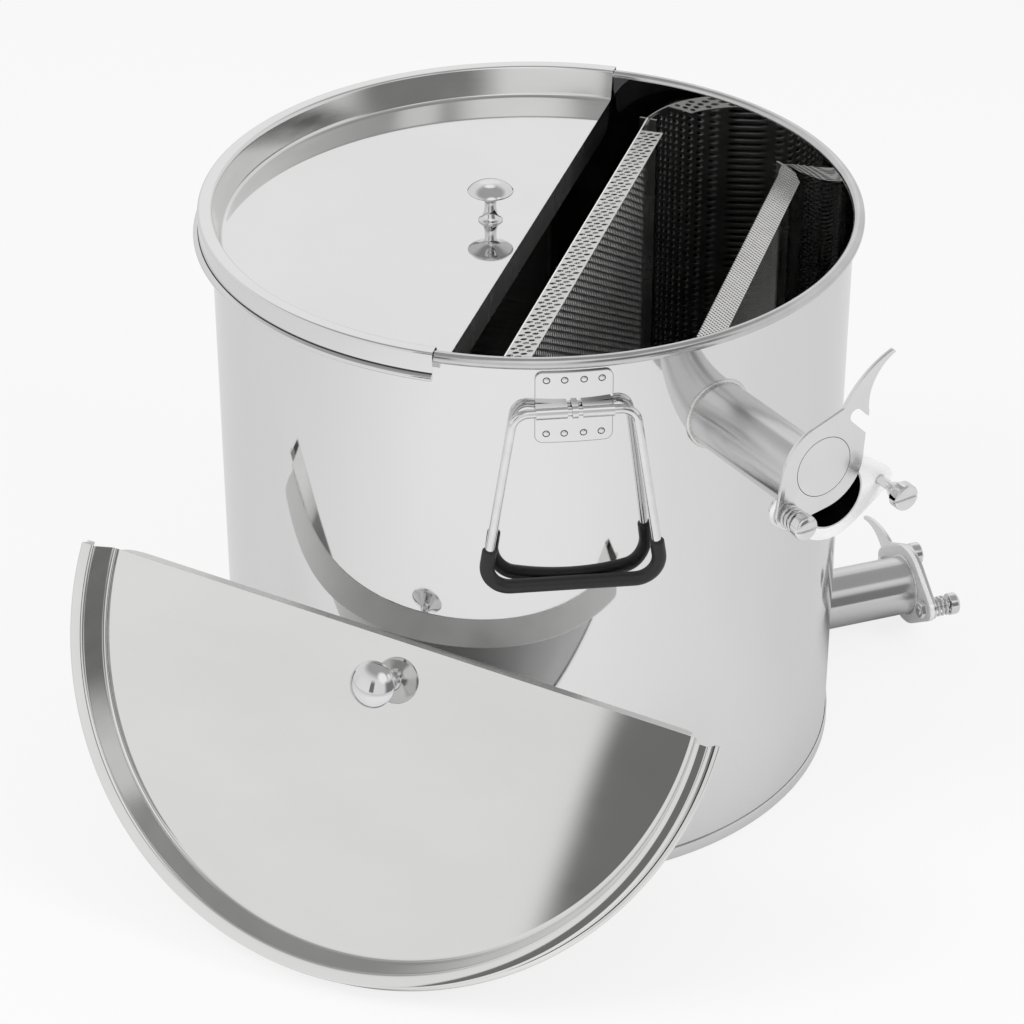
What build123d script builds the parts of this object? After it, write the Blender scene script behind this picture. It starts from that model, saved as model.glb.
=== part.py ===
from build123d import *
from math import asin, atan, atan2, cos, degrees, pi, radians, sin, sqrt, tan
import os

# A steel honey tank with a split lid, two lift-out strainers, two swing gates and two bail handles.
# Millimetres. The origin is on the drum's axis, on the floor. +Z is up, Y runs along the lids' split
# and X runs from the covered half to the open half.

# Drum
drum_radius = 250.0
drum_height = 472.0
drum_sheet = 1.2
bead_radius = 4.6
bead_sides = 8
pan_wall_height = 11.0
pan_bend = 1.5
pan_gap = 0.1

# Fits
running_gap = 0.05
weld_gap = 0.05
loose_gap = 0.3

# Lid halves: a skirt outside the bead, a ledge on it, a sloped wall and a sunk panel
lid_sheet = 1.0
lid_skirt_gap = 1.0
lid_skirt_height = 22.0
lid_hem_width = 4.0
lid_hem_height = 4.5
lid_edge_bend = 1.0
lid_wall_gap = 0.5
lid_panel_depth = 24.0
lid_foot_setback = 7.0
lid_split_gap = 0.5
lid_lip_height = 24.0
lid_lip_setback = 6.0
lid_lip_corner = 14.0

# The half that is off: it stands on the floor and leans on the drum
prop_bearing = -95.4
prop_tilt = 29.4
prop_roll = -5.2
prop_shift = 10.0
prop_gap = 0.4

# Lid knob and its screw
knob_setback = 34.0
knob_height = 33.0
knob_cap_radius = 18.0
knob_cap_height = 8.0
knob_crown_radius = 11.0
knob_rim_height = 2.0
knob_waist_radius = 5.0
knob_waist_height = 15.0
knob_foot_radius = 9.5
knob_foot_height = 3.0
knob_screw_radius = 3.0
knob_screw_depth = 14.0
screw_head_radius = 5.5
screw_head_height = 3.2

# Strainers: sheets with a folded top lip, in pairs of guides at the wall
strainer_sheet = 1.0
strainer_drop = 36.0
strainer_lip = 20.0
strainer_border = 18.0
strainer_end_gap = 0.5
coarse_place = 31.0
fine_place = 160.0
coarse_hole = 24.0
coarse_pitch = 56.0
fine_hole = 26.0
fine_pitch = 50.0
guide_sheet = 1.0
guide_depth = 12.0
guide_flange = 7.5

# Outlet pipes and gates
pipe_radius = 25.5
pipe_wall = 1.2
upper_bearing = -41.0
upper_drop = 71.0
upper_reach = 138.0
upper_opening = 45.0
lower_bearing = 36.0
lower_ground_gap = 3.0
lower_reach = 103.0
lower_opening = 0.0
flange_margin = 9.5
flange_thickness = 4.0
ear_reach = 7.0
ear_radius = 11.0
blade_thickness = 3.0
blade_gap = 0.15
blade_ear_radius = 10.0
neck_upper_angle = 62.0
neck_lower_angle = 55.0
horn_length = 52.0
horn_root_setback = 1.8
horn_root_rise = 18.5
horn_crown_rise = 21.5
horn_belly_reach = 17.0
horn_belly_rise = 10.3
horn_tip_rise = 13.0
horn_tip_width = 3.4
hook_wall = 2.5
hook_drop = 4.0
shoulder_drop = 14.0
notch_gap = 1.7
notch_rise = 4.4

# Gate hardware
pivot_radius = 4.0
pivot_head_radius = 9.5
pivot_head_height = 10.0
pivot_head_bevel = 3.0
pivot_slot_width = 2.0
pivot_slot_depth = 2.5
spring_length = 14.0
spring_radius = 7.6
spring_wire = 2.4
spring_turns = 3
spring_wire_sides = 6
spring_least_gap = 0.4
nut_width = 13.0
nut_height = 6.0
bolt_end = 1.0
lock_radius = 3.5
lock_tail = 8.0
lock_stand = 13.0
cone_height = 9.0
cone_small_radius = 4.7
cone_large_radius = 8.5
lock_head_radius = 10.0
lock_head_height = 9.0
lock_head_bevel = 1.5
lock_slot_width = 2.0
lock_slot_depth = 2.2

# Bail handles
handle_bearing = -67.2
handle_drop = 43.5
handle_plate_width = 57.0
handle_plate_height = 58.0
handle_plate_sheet = 1.5
handle_plate_corner = 5.0
handle_plate_rise = 1.0
knuckle_wall = 1.5
knuckle_inner = 5.5
knuckle_outer = 28.5
hook_strip_width = 4.5
hook_strip_sheet = 1.2
hook_strip_gap = 0.6
rod_radius = 3.5
rod_top_half = 44.4
rod_bottom_half = 67.2
rod_length = 146.5
rod_top_bend = 13.0
rod_bottom_bend = 18.0
rod_end_gap = 2.0
rod_sides = 8
grip_radius = 5.5
grip_bore_gap = 0.05
grip_rise = 33.0
grip_sides = 8
grip_wall_gap = 0.5

# Values that follow from the sizes above
drum_inner = drum_radius - drum_sheet
bead_centre = drum_inner + bead_radius
bead_height = drum_height - bead_radius
bead_outer = bead_centre + bead_radius
pan_inner = drum_radius + pan_gap
pan_outer = pan_inner + drum_sheet

skirt_inner = bead_outer + lid_skirt_gap
skirt_outer = skirt_inner + lid_sheet
hem_outer = skirt_outer + lid_hem_width
lid_foot_radius = drum_radius - lid_foot_setback
lid_height = drum_height + loose_gap + lid_sheet
lid_depth = lid_panel_depth + lid_lip_height

flange_radius = pipe_radius + flange_margin
ear_offset = flange_radius + ear_reach
lower_height = flange_radius + lower_ground_gap
upper_height = drum_height - upper_drop
hinge_radius = drum_radius + grip_radius + grip_wall_gap
hinge_height = drum_height - handle_drop
knuckle_bore = rod_radius + running_gap
knuckle_radius = knuckle_bore + knuckle_wall


def on_wall(bearing, radius, height):
    """A plane facing outwards from the drum: x runs along the wall, y is up."""
    turn = radians(bearing)
    outward = Vector(cos(turn), sin(turn), 0)
    along = Vector(-sin(turn), cos(turn), 0)
    return Plane(outward * radius + Vector(0, 0, height), x_dir=along, z_dir=outward)


def shifted(plane, u, v, w=0.0, angle=0.0):
    """The plane moved within its own axes and turned about its own normal."""
    return Plane(plane.location * Location((u, v, w), (0, 0, angle)))


def save(piece, name):
    piece.part.label = name
    export_step(piece.part, f"parts/{name}.step")


os.makedirs("parts", exist_ok=True)

upper_seat = on_wall(upper_bearing, drum_radius + upper_reach, upper_height)
lower_seat = on_wall(lower_bearing, drum_radius + lower_reach, lower_height)
gate_seats = {"upper": upper_seat, "lower": lower_seat}
gate_openings = {"upper": upper_opening, "lower": lower_opening}
gate_reaches = {"upper": upper_reach, "lower": lower_reach}

# Drum: a straight wall with a rolled bead, open to the two outlets
with BuildPart() as tank_shell:
    with BuildSketch(Plane.XZ):
        with Locations((drum_inner, drum_sheet)):
            Rectangle(drum_sheet, bead_height - drum_sheet, align=(Align.MIN, Align.MIN))
        with Locations((bead_centre, bead_height)):
            RegularPolygon(bead_radius, bead_sides, major_radius=False, rotation=180 / bead_sides)
    revolve(axis=Axis.Z)
    for gate, seat in gate_seats.items():
        with BuildSketch(seat):
            Circle(pipe_radius + weld_gap)
        extrude(amount=-gate_reaches[gate] - drum_radius / 2, mode=Mode.SUBTRACT)
save(tank_shell, "tank_shell")

# Pan: the floor, folded up around the foot of the drum
with BuildPart() as tank_bottom:
    with BuildSketch(Plane.XZ):
        with BuildLine():
            Polyline(
                (0, 0),
                (pan_outer - pan_bend, 0),
                (pan_outer, pan_bend),
                (pan_outer, pan_wall_height),
                (pan_inner, pan_wall_height),
                (pan_inner, drum_sheet),
                (0, drum_sheet),
                close=True,
            )
        make_face()
    revolve(axis=Axis.Z)
save(tank_bottom, "tank_bottom")

# Lid half, drawn with its ledge at z = 0, its straight edge along x and its disc towards -y.
# The sloped wall runs from the panel's foot past the bead, at the bead's radius plus the gap.
bead_below_ledge = bead_height - lid_height
wall_reach = bead_radius + lid_wall_gap + lid_sheet
foot_to_bead = Vector(bead_centre - lid_foot_radius, bead_below_ledge + lid_panel_depth)
wall_rise = atan2(foot_to_bead.Y, foot_to_bead.X) + asin(wall_reach / foot_to_bead.length)
wall_head = lid_foot_radius + lid_panel_depth / tan(wall_rise)
wall_shift = lid_sheet / sin(wall_rise)
sheet_shift = lid_sheet / tan(wall_rise)
lip_half = lid_foot_radius - lid_lip_setback
with BuildPart() as lid_blank:
    with BuildSketch(Plane(origin=(0, 0, 0), x_dir=(-1, 0, 0), z_dir=(0, 1, 0))):
        with BuildLine():
            Polyline(
                (0, -lid_panel_depth),
                (lid_foot_radius, -lid_panel_depth),
                (wall_head, 0),
                (skirt_outer - lid_edge_bend, 0),
                (skirt_outer, -lid_edge_bend),
                (skirt_outer, lid_hem_height - lid_skirt_height),
                (hem_outer, lid_hem_height - lid_skirt_height),
                (hem_outer, -lid_skirt_height),
                (skirt_inner, -lid_skirt_height),
                (skirt_inner, -lid_sheet),
                (wall_head + wall_shift - sheet_shift, -lid_sheet),
                (lid_foot_radius + wall_shift - sheet_shift, -lid_panel_depth - lid_sheet),
                (0, -lid_panel_depth - lid_sheet),
                close=True,
            )
        make_face()
    revolve(axis=Axis.Z, revolution_arc=180)
    with Locations((0, -lid_split_gap, 0)):
        Box(
            4 * hem_outer,
            2 * hem_outer,
            4 * lid_depth,
            align=(Align.CENTER, Align.MIN, Align.CENTER),
            mode=Mode.SUBTRACT,
        )
    with BuildSketch(Plane.XZ.offset(lid_split_gap)):
        with BuildLine():
            Polyline(
                (-lip_half, -lid_panel_depth - lid_sheet / 2),
                (-lip_half, lid_lip_corner - lid_depth),
                (lid_lip_corner - lip_half, -lid_depth),
                (lip_half - lid_lip_corner, -lid_depth),
                (lip_half, lid_lip_corner - lid_depth),
                (lip_half, -lid_panel_depth - lid_sheet / 2),
                close=True,
            )
        make_face()
    extrude(amount=lid_sheet)
    with Locations((0, -knob_setback, -lid_panel_depth)):
        Cylinder(knob_screw_radius + loose_gap, 4 * lid_sheet, mode=Mode.SUBTRACT)

# Knob: a mushroom cap on a waisted stem with a round foot, bored from below for its screw
knob_cap_height_above = knob_height - knob_cap_height
with BuildPart() as knob_blank:
    with BuildSketch(Plane.XZ):
        with BuildLine():
            Polyline(
                (0, 0),
                (knob_foot_radius, 0),
                (knob_foot_radius, knob_foot_height),
                (knob_waist_radius, knob_waist_height),
                (knob_cap_radius, knob_cap_height_above),
                (knob_cap_radius, knob_cap_height_above + knob_rim_height),
                (knob_crown_radius, knob_height),
                (0, knob_height),
                close=True,
            )
        make_face()
    revolve(axis=Axis.Z)
    with BuildSketch():
        Circle(knob_screw_radius + running_gap)
    extrude(amount=knob_screw_depth + loose_gap, mode=Mode.SUBTRACT)

with BuildPart() as knob_screw_blank:
    with BuildSketch(Plane.XY.offset(-lid_sheet)):
        Circle(knob_screw_radius)
    extrude(amount=knob_screw_depth + lid_sheet)
    with BuildSketch(Plane.XY.offset(-lid_sheet)):
        Circle(screw_head_radius)
    extrude(amount=-screw_head_height)

# Seats of the two lid halves: one on the rim, one leaning with its hem on the floor
lid_seat = Plane((0, 0, lid_height), x_dir=(0, -1, 0), z_dir=(0, 0, 1))
tilt = radians(prop_tilt)
bearing = radians(prop_bearing)
face = Vector(cos(tilt) * cos(bearing), cos(tilt) * sin(bearing), sin(tilt))
level = Vector(0, 0, 1).cross(face).normalized()
edge = level * cos(radians(prop_roll)) + face.cross(level) * sin(radians(prop_roll))
edge_level = Vector(edge.X, edge.Y, 0).normalized()
away = Vector(edge_level.Y, -edge_level.X, 0)
prop_height = hem_outer * cos(tilt) + lid_skirt_height * sin(tilt)
lip_offset = Vector(face.X, face.Y, 0).dot(away) * lid_depth
prop_origin = away * (drum_radius + prop_gap + lip_offset) + edge_level * prop_shift
prop_seat = Plane(prop_origin + Vector(0, 0, prop_height), x_dir=edge, z_dir=face)

for name, seat in {"left": lid_seat, "right": prop_seat}.items():
    knob_seat = shifted(seat, 0, -knob_setback, -lid_panel_depth)
    with BuildPart(seat) as lid:
        add(lid_blank.part)
    save(lid, f"{name}_lid")
    with BuildPart(knob_seat) as knob:
        add(knob_blank.part)
    save(knob, f"{name}_lid_knob")
    with BuildPart(knob_seat) as knob_screw:
        add(knob_screw_blank.part)
    save(knob_screw, f"{name}_knob_screw")

# Strainers stand on the floor of the pan, across the drum, between guides on the wall
guide_wall = drum_inner - weld_gap
guide_inner = guide_wall - guide_sheet
guide_slot = strainer_sheet + 2 * loose_gap
strainer_foot = drum_sheet + loose_gap
strainer_top = drum_height - strainer_drop
guide_foot = drum_sheet + weld_gap
guide_top = strainer_top - strainer_sheet - loose_gap


def chord(place):
    """Half of the clear width between the guides at this distance from the axis."""
    return sqrt(guide_inner**2 - place**2) - strainer_end_gap


def strainer(place, hole, pitch, sides, turn):
    """A perforated sheet across the drum with its lip folded towards the open side."""
    half = chord(place + strainer_sheet)
    lip_half_length = chord(place + strainer_lip)
    columns = int((half - strainer_border) / pitch) * 2
    rows = int((strainer_top - strainer_foot - 2 * strainer_border) / pitch)
    middle = (strainer_foot + strainer_top) / 2
    with BuildPart() as sheet:
        with BuildSketch(Plane.YZ.offset(place)):
            with Locations((0, middle)):
                Rectangle(2 * half, strainer_top - strainer_foot)
            with Locations((0, middle)):
                with GridLocations(pitch, pitch, columns, rows):
                    RegularPolygon(hole / 2, sides, rotation=turn, mode=Mode.SUBTRACT)
        extrude(amount=strainer_sheet)
        with BuildSketch(Plane.XY.offset(strainer_top - strainer_sheet)):
            with BuildLine():
                Polyline(
                    (place, -half),
                    (place + strainer_sheet, -half),
                    (place + strainer_lip, -lip_half_length),
                    (place + strainer_lip, lip_half_length),
                    (place + strainer_sheet, half),
                    (place, half),
                    close=True,
                )
            make_face()
        extrude(amount=strainer_sheet)
    return sheet


def guide(place, side):
    """A strip on the drum's wall with two ribs that leave a slot for the strainer's edge."""
    middle = place + strainer_sheet / 2
    rib = guide_slot / 2 + guide_sheet / 2
    rib_tip = chord(place + strainer_sheet) - guide_depth
    with BuildPart() as strip:
        with BuildSketch(Plane.XY.offset(guide_foot)):
            with Locations((middle, side * drum_radius / 2)):
                Rectangle(2 * guide_flange, drum_radius)
            Circle(guide_inner, mode=Mode.SUBTRACT)
            for offset_x in (-rib, rib):
                with Locations((middle + offset_x, side * (rib_tip + drum_radius) / 2)):
                    Rectangle(guide_sheet, drum_radius - rib_tip)
            Circle(guide_wall, mode=Mode.INTERSECT)
        extrude(amount=guide_top - guide_foot)
    return strip


save(strainer(coarse_place, coarse_hole, coarse_pitch, 4, 0), "coarse_strainer")
save(strainer(fine_place, fine_hole, fine_pitch, 4, 45), "fine_strainer")
for name, place in {"coarse": coarse_place, "fine": fine_place}.items():
    save(guide(place, -1), f"{name}_front_guide")
    save(guide(place, 1), f"{name}_back_guide")

# Outlet pipes: their roots follow the inside of the drum, their ends are flush with the flanges
for gate, seat in gate_seats.items():
    with BuildPart() as pipe:
        with BuildSketch(seat):
            Circle(pipe_radius)
            Circle(pipe_radius - pipe_wall, mode=Mode.SUBTRACT)
        extrude(amount=-gate_reaches[gate] - drum_radius / 2)
        Cylinder(drum_inner, 4 * drum_height, mode=Mode.SUBTRACT)
    save(pipe, f"{gate}_pipe")

# Flange: an oval plate with an ear for the pivot and an ear for the lock, front face at z = 0
with BuildPart() as flange_blank:
    with BuildSketch():
        Circle(flange_radius)
        with Locations((-ear_offset, 0), (ear_offset, 0)):
            Circle(ear_radius)
        make_hull()
        Circle(pipe_radius + weld_gap, mode=Mode.SUBTRACT)
        with Locations((-ear_offset, 0)):
            Circle(pivot_radius + running_gap, mode=Mode.SUBTRACT)
        with Locations((ear_offset, 0)):
            Circle(lock_radius + running_gap, mode=Mode.SUBTRACT)
    extrude(amount=-flange_thickness)

# Blade: a disc over the bore, an ear on the pivot, and a horn with a notch that hooks on the lock.
# It is drawn about its pivot, closed, with its back face at z = 0.
pivot_to_lock = 2 * ear_offset
notch_radius = lock_radius + notch_gap
neck_upper = Vector(flange_radius, 0).rotate(Axis.Z, neck_upper_angle) + Vector(ear_offset, 0)
neck_lower = Vector(flange_radius, 0).rotate(Axis.Z, -neck_lower_angle) + Vector(ear_offset, 0)
shoulder = Vector(pivot_to_lock - notch_radius, -shoulder_drop)
horn_root = Vector(pivot_to_lock - horn_root_setback, horn_root_rise)
horn_tip_top = Vector(pivot_to_lock + horn_length, horn_tip_rise + horn_tip_width / 2)
horn_tip_low = Vector(pivot_to_lock + horn_length, horn_tip_rise - horn_tip_width / 2)
horn_crown = Vector((horn_root.X + horn_tip_top.X) / 2, horn_crown_rise)
hook_tip = Vector(pivot_to_lock + notch_radius + hook_wall, -hook_drop)
horn_belly = Vector(hook_tip.X + horn_belly_reach, horn_belly_rise)
with BuildPart() as blade_blank:
    with BuildSketch():
        Circle(blade_ear_radius)
        with Locations((ear_offset, 0)):
            Circle(flange_radius)
        make_hull()
        with BuildLine():
            Polyline(hook_tip, shoulder, neck_lower, (ear_offset, 0), neck_upper, horn_root)
            ThreePointArc(horn_root, horn_crown, horn_tip_top)
            Line(horn_tip_top, horn_tip_low)
            ThreePointArc(horn_tip_low, horn_belly, hook_tip)
        make_face()
        with Locations((pivot_to_lock, notch_rise)):
            Circle(notch_radius, mode=Mode.SUBTRACT)
        with Locations((pivot_to_lock, notch_rise)):
            Rectangle(
                2 * notch_radius,
                notch_rise + 2 * shoulder_drop,
                align=(Align.CENTER, Align.MAX),
                mode=Mode.SUBTRACT,
            )
        Circle(pivot_radius + running_gap, mode=Mode.SUBTRACT)
    extrude(amount=blade_thickness)

# Pivot hardware, drawn about the pivot with the flange's front face at z = 0
spring_foot = blade_gap + blade_thickness + loose_gap
pivot_head_foot = spring_foot + spring_length + weld_gap
nut_face = -flange_thickness - weld_gap
with BuildPart() as pivot_blank:
    with BuildSketch(Plane.XY.offset(nut_face - nut_height - bolt_end)):
        Circle(pivot_radius)
    extrude(amount=pivot_head_foot - nut_face + nut_height + bolt_end)
    with BuildSketch(Plane.XY.offset(pivot_head_foot)):
        Circle(pivot_head_radius)
    extrude(amount=pivot_head_height)
    chamfer(pivot_blank.faces().sort_by(Axis.Z)[-1].edges(), pivot_head_bevel)
    with BuildSketch(Plane.XY.offset(pivot_head_foot + pivot_head_height)):
        Rectangle(4 * pivot_head_radius, pivot_slot_width)
    extrude(amount=-pivot_slot_depth, mode=Mode.SUBTRACT)

with BuildPart() as nut_blank:
    with BuildSketch(Plane.XY.offset(nut_face)):
        RegularPolygon(nut_width / 2, 6, major_radius=False)
        Circle(pivot_radius + running_gap, mode=Mode.SUBTRACT)
    extrude(amount=-nut_height)

# Spring: a helix made of two tangent arcs for each half turn
half_turns = 2 * spring_turns
spring_rise = (spring_length - spring_wire) / half_turns
spring_slope = atan(spring_rise / (pi * spring_radius))


def coil_point(step):
    turn = pi * step
    height = spring_foot + spring_wire / 2 + spring_rise * step
    return Vector(spring_radius * cos(turn), spring_radius * sin(turn), height)


def coil_direction(step):
    turn = pi * step
    flat = Vector(-sin(turn), cos(turn), 0) * cos(spring_slope)
    return flat + Vector(0, 0, sin(spring_slope))


with BuildPart() as spring_blank:
    with BuildLine() as coil:
        for step in range(half_turns):
            start, start_way = coil_point(step), coil_direction(step)
            end, end_way = coil_point(step + 1), coil_direction(step + 1)
            span = end - start
            lean = span.dot(start_way + end_way)
            spread = 2 * (1 - start_way.dot(end_way))
            arm = (sqrt(lean**2 + spread * span.dot(span)) - lean) / spread
            meeting = (start + end + (start_way - end_way) * arm) * 0.5
            first_arc = TangentArc(start, meeting, tangent=start_way)
            TangentArc(meeting, end, tangent=first_arc % 1)
    with BuildSketch(Plane(coil_point(0), z_dir=coil_direction(0))):
        RegularPolygon(spring_wire / 2, spring_wire_sides)
    sweep()

samples = [coil.wire().position_at(i / 400) for i in range(401)]
turn_samples = 400 // spring_turns
self_gap = min(
    (samples[i] - samples[j]).length
    for i in range(len(samples))
    for j in range(i + turn_samples // 2, len(samples))
) - spring_wire
print(f"spring: least gap between turns {self_gap:.2f} mm, wanted over {spring_least_gap}")

# Lock: a screw through the flange's ear with a loose cone under its head
cone_foot = lock_stand
lock_head_foot = cone_foot + cone_height + running_gap
with BuildPart() as cone_blank:
    with BuildSketch(Plane.XZ):
        with BuildLine():
            Polyline(
                (lock_radius + running_gap, cone_foot),
                (cone_small_radius, cone_foot),
                (cone_large_radius, cone_foot + cone_height),
                (lock_radius + running_gap, cone_foot + cone_height),
                close=True,
            )
        make_face()
    revolve(axis=Axis.Z)

with BuildPart() as lock_blank:
    with BuildSketch(Plane.XY.offset(-lock_tail)):
        Circle(lock_radius)
    extrude(amount=lock_tail + lock_head_foot)
    with BuildSketch(Plane.XY.offset(lock_head_foot)):
        Circle(lock_head_radius)
    extrude(amount=lock_head_height)
    chamfer(lock_blank.faces().sort_by(Axis.Z)[-1].edges(), lock_head_bevel)
    with BuildSketch(Plane.XY.offset(lock_head_foot + lock_head_height)):
        Rectangle(4 * lock_head_radius, lock_slot_width)
    extrude(amount=-lock_slot_depth, mode=Mode.SUBTRACT)

pivot_seats = [shifted(seat, -ear_offset, 0) for seat in gate_seats.values()]
for name, blank in {
    "gate_pivot_bolts": pivot_blank,
    "gate_pivot_nuts": nut_blank,
    "gate_springs": spring_blank,
}.items():
    pair = Compound([seat.location * blank.part.solid() for seat in pivot_seats])
    pair.label = name
    export_step(pair, f"parts/{name}.step")

for gate, seat in gate_seats.items():
    with BuildPart(seat) as flange:
        add(flange_blank.part)
    save(flange, f"{gate}_gate_flange")
    with BuildPart(shifted(seat, -ear_offset, 0, blade_gap, gate_openings[gate])) as blade:
        add(blade_blank.part)
    save(blade, f"{gate}_gate_blade")
    with BuildPart(shifted(seat, ear_offset, 0)) as cone:
        add(cone_blank.part)
    save(cone, f"{gate}_lock_cone")
    with BuildPart(shifted(seat, ear_offset, 0)) as lock:
        add(lock_blank.part)
    save(lock, f"{gate}_lock_screw")

# Handles: a plate on the wall with two knuckles and a hook, a bent rod and its rubber grip.
# The rod is drawn about the hinge, with x along the hinge and y up.
leg_slope = (rod_bottom_half - rod_top_half) / rod_length
grip_half = rod_bottom_half - grip_rise * leg_slope
with BuildLine() as rod_path:
    FilletPolyline(
        (rod_end_gap / 2, -rod_length),
        (rod_bottom_half, -rod_length),
        (rod_top_half, 0),
        (-rod_top_half, 0),
        (-rod_bottom_half, -rod_length),
        (-rod_end_gap / 2, -rod_length),
        radius=[rod_bottom_bend, rod_top_bend, rod_top_bend, rod_bottom_bend],
    )
with BuildLine() as grip_path:
    FilletPolyline(
        (-grip_half, grip_rise - rod_length),
        (-rod_bottom_half, -rod_length),
        (rod_bottom_half, -rod_length),
        (grip_half, grip_rise - rod_length),
        radius=rod_bottom_bend,
    )


def square_to(run):
    """The plane across the start of a run that lies in the handle's own plane."""
    return Plane(run @ 0, x_dir=(0, 0, 1), z_dir=run % 0)


with BuildPart() as bail_blank:
    for run in rod_path.edges():
        with BuildSketch(square_to(run)):
            RegularPolygon(rod_radius, rod_sides)
        if run.geom_type == GeomType.LINE:
            extrude(amount=run.length)
        else:
            bend = degrees(run.length / run.radius)
            revolve(axis=Axis(run.arc_center, (0, 0, 1)), revolution_arc=bend)

with BuildPart() as grip_blank:
    for run in grip_path.edges():
        with BuildSketch(square_to(run)):
            RegularPolygon(grip_radius, grip_sides)
            grip_bore = rod_radius + grip_bore_gap
            RegularPolygon(grip_bore, grip_sides, major_radius=False, mode=Mode.SUBTRACT)
        if run.geom_type == GeomType.LINE:
            extrude(amount=run.length)
        else:
            bend = degrees(run.length / run.radius)
            revolve(axis=Axis(run.arc_center, (0, 0, 1)), revolution_arc=bend)

hinges = {
    "front": on_wall(handle_bearing, hinge_radius, hinge_height),
    "back": on_wall(handle_bearing + 180, hinge_radius, hinge_height),
}
hook_radius = rod_radius + hook_strip_gap
hook_mouth = 2 * hook_radius
hook_back = hook_mouth + 2 * hook_strip_sheet
plate_reach = hinge_radius - drum_radius / 2
for side, hinge in hinges.items():
    across = Plane(hinge.origin, x_dir=hinge.z_dir, z_dir=hinge.x_dir)
    with BuildPart() as plate:
        with BuildSketch(shifted(hinge, 0, handle_plate_rise, -plate_reach)):
            outline = Rectangle(handle_plate_width, handle_plate_height)
            chamfer(outline.vertices(), handle_plate_corner)
        extrude(amount=plate_reach)
        Cylinder(drum_radius + weld_gap + handle_plate_sheet, 4 * drum_height, mode=Mode.INTERSECT)
        for start in (knuckle_inner, -knuckle_outer):
            with BuildSketch(across.offset(start)):
                Circle(knuckle_radius)
                Rectangle(plate_reach, 2 * knuckle_radius, align=(Align.MAX, Align.CENTER))
                Circle(knuckle_bore, mode=Mode.SUBTRACT)
            extrude(amount=knuckle_outer - knuckle_inner)
        with BuildSketch(across.offset(-hook_strip_width / 2)):
            Circle(hook_radius + hook_strip_sheet)
            Rectangle(plate_reach, hook_back, align=(Align.MAX, Align.CENTER))
            Circle(hook_radius, mode=Mode.SUBTRACT)
            Rectangle(plate_reach, hook_mouth, align=(Align.MAX, Align.CENTER), mode=Mode.SUBTRACT)
        extrude(amount=hook_strip_width)
        Cylinder(drum_radius + weld_gap, 4 * drum_height, mode=Mode.SUBTRACT)
    save(plate, f"{side}_handle_plate")
    with BuildPart(hinge) as bail:
        add(bail_blank.part)
    save(bail, f"{side}_bail")
    with BuildPart(hinge) as grip:
        add(grip_blank.part)
    save(grip, f"{side}_grip")
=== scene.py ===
# %% [markdown]
# # A steel honey tank, dressed over its frame
# The frame holds the tank's solids at their real size, so this lesson only adds looks. Each step takes
# one piece of the tank, makes a smooth mesh where the solid stands, and gives it a finish. The solid is
# hidden where a mesh takes its place, and keeps its own mesh where that is already right.

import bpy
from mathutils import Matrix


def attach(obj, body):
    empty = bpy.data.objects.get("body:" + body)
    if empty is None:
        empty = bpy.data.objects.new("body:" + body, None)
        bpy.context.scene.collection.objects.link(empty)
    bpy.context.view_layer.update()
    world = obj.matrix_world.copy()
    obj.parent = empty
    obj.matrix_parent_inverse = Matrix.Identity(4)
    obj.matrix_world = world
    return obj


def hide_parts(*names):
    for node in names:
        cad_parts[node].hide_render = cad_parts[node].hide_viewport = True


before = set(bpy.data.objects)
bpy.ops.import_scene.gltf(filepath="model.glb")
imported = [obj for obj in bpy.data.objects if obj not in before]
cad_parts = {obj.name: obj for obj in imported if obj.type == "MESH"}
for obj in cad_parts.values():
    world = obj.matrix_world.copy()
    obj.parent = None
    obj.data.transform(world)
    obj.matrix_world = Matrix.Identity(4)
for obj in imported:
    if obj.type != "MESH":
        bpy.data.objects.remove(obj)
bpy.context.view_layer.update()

# %% Modules and the unit
from math import asin, atan2, cos, pi, radians, sin, sqrt, tan

import bmesh
import bpy
from mathutils import Matrix, Vector
from mathutils.geometry import interpolate_bezier

MM = 0.001

# %% [markdown]
# ## The camera
# The photograph looks down on the tank from the front right. The camera could be aimed with a Track To
# constraint, but three axes and a point say the same thing with nothing left to solve: the columns of
# the matrix are right, up and backwards, and the last one is the place.

# %% Camera
CAMERA_PLACE = Vector((623.5, -2203.3, 1604.6)) * MM
CAMERA_FORWARD = Vector((-0.2371, 0.8163, -0.5267)).normalized()
CAMERA_LENS = 114.97

camera_right = CAMERA_FORWARD.cross(Vector((0, 0, 1))).normalized()
camera_up = camera_right.cross(CAMERA_FORWARD)
camera_data = bpy.data.cameras.new("camera")
camera_data.lens = CAMERA_LENS
camera = bpy.data.objects.new("camera", camera_data)
camera.matrix_world = Matrix.Translation(CAMERA_PLACE) @ Matrix(
    (camera_right, camera_up, -CAMERA_FORWARD)
).transposed().to_4x4()
bpy.context.collection.objects.link(camera)
bpy.context.scene.camera = camera
print("camera at", [round(x, 3) for x in CAMERA_PLACE])

# %% [markdown]
# ## Shader nodes in one line
# Every finish and light below is a small graph of shader nodes. Each node could take a line for itself, one
# for each value and one for each link, but the graph would drown in them. `feed` fills a node's inputs with
# numbers or links, and `add` makes a node, feeds it and hands back its outputs.

# %% Node helpers
def new_tree(name):
    """A new material and its node tree."""
    material = bpy.data.materials.new(name)
    material.use_nodes = True
    return material, material.node_tree


def feed(tree, node, inputs):
    """Sets a node's inputs, each to a value or to the socket of another node."""
    for key, value in inputs.items():
        if isinstance(value, bpy.types.NodeSocket):
            tree.links.new(value, node.inputs[key])
        else:
            node.inputs[key].default_value = value


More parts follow.
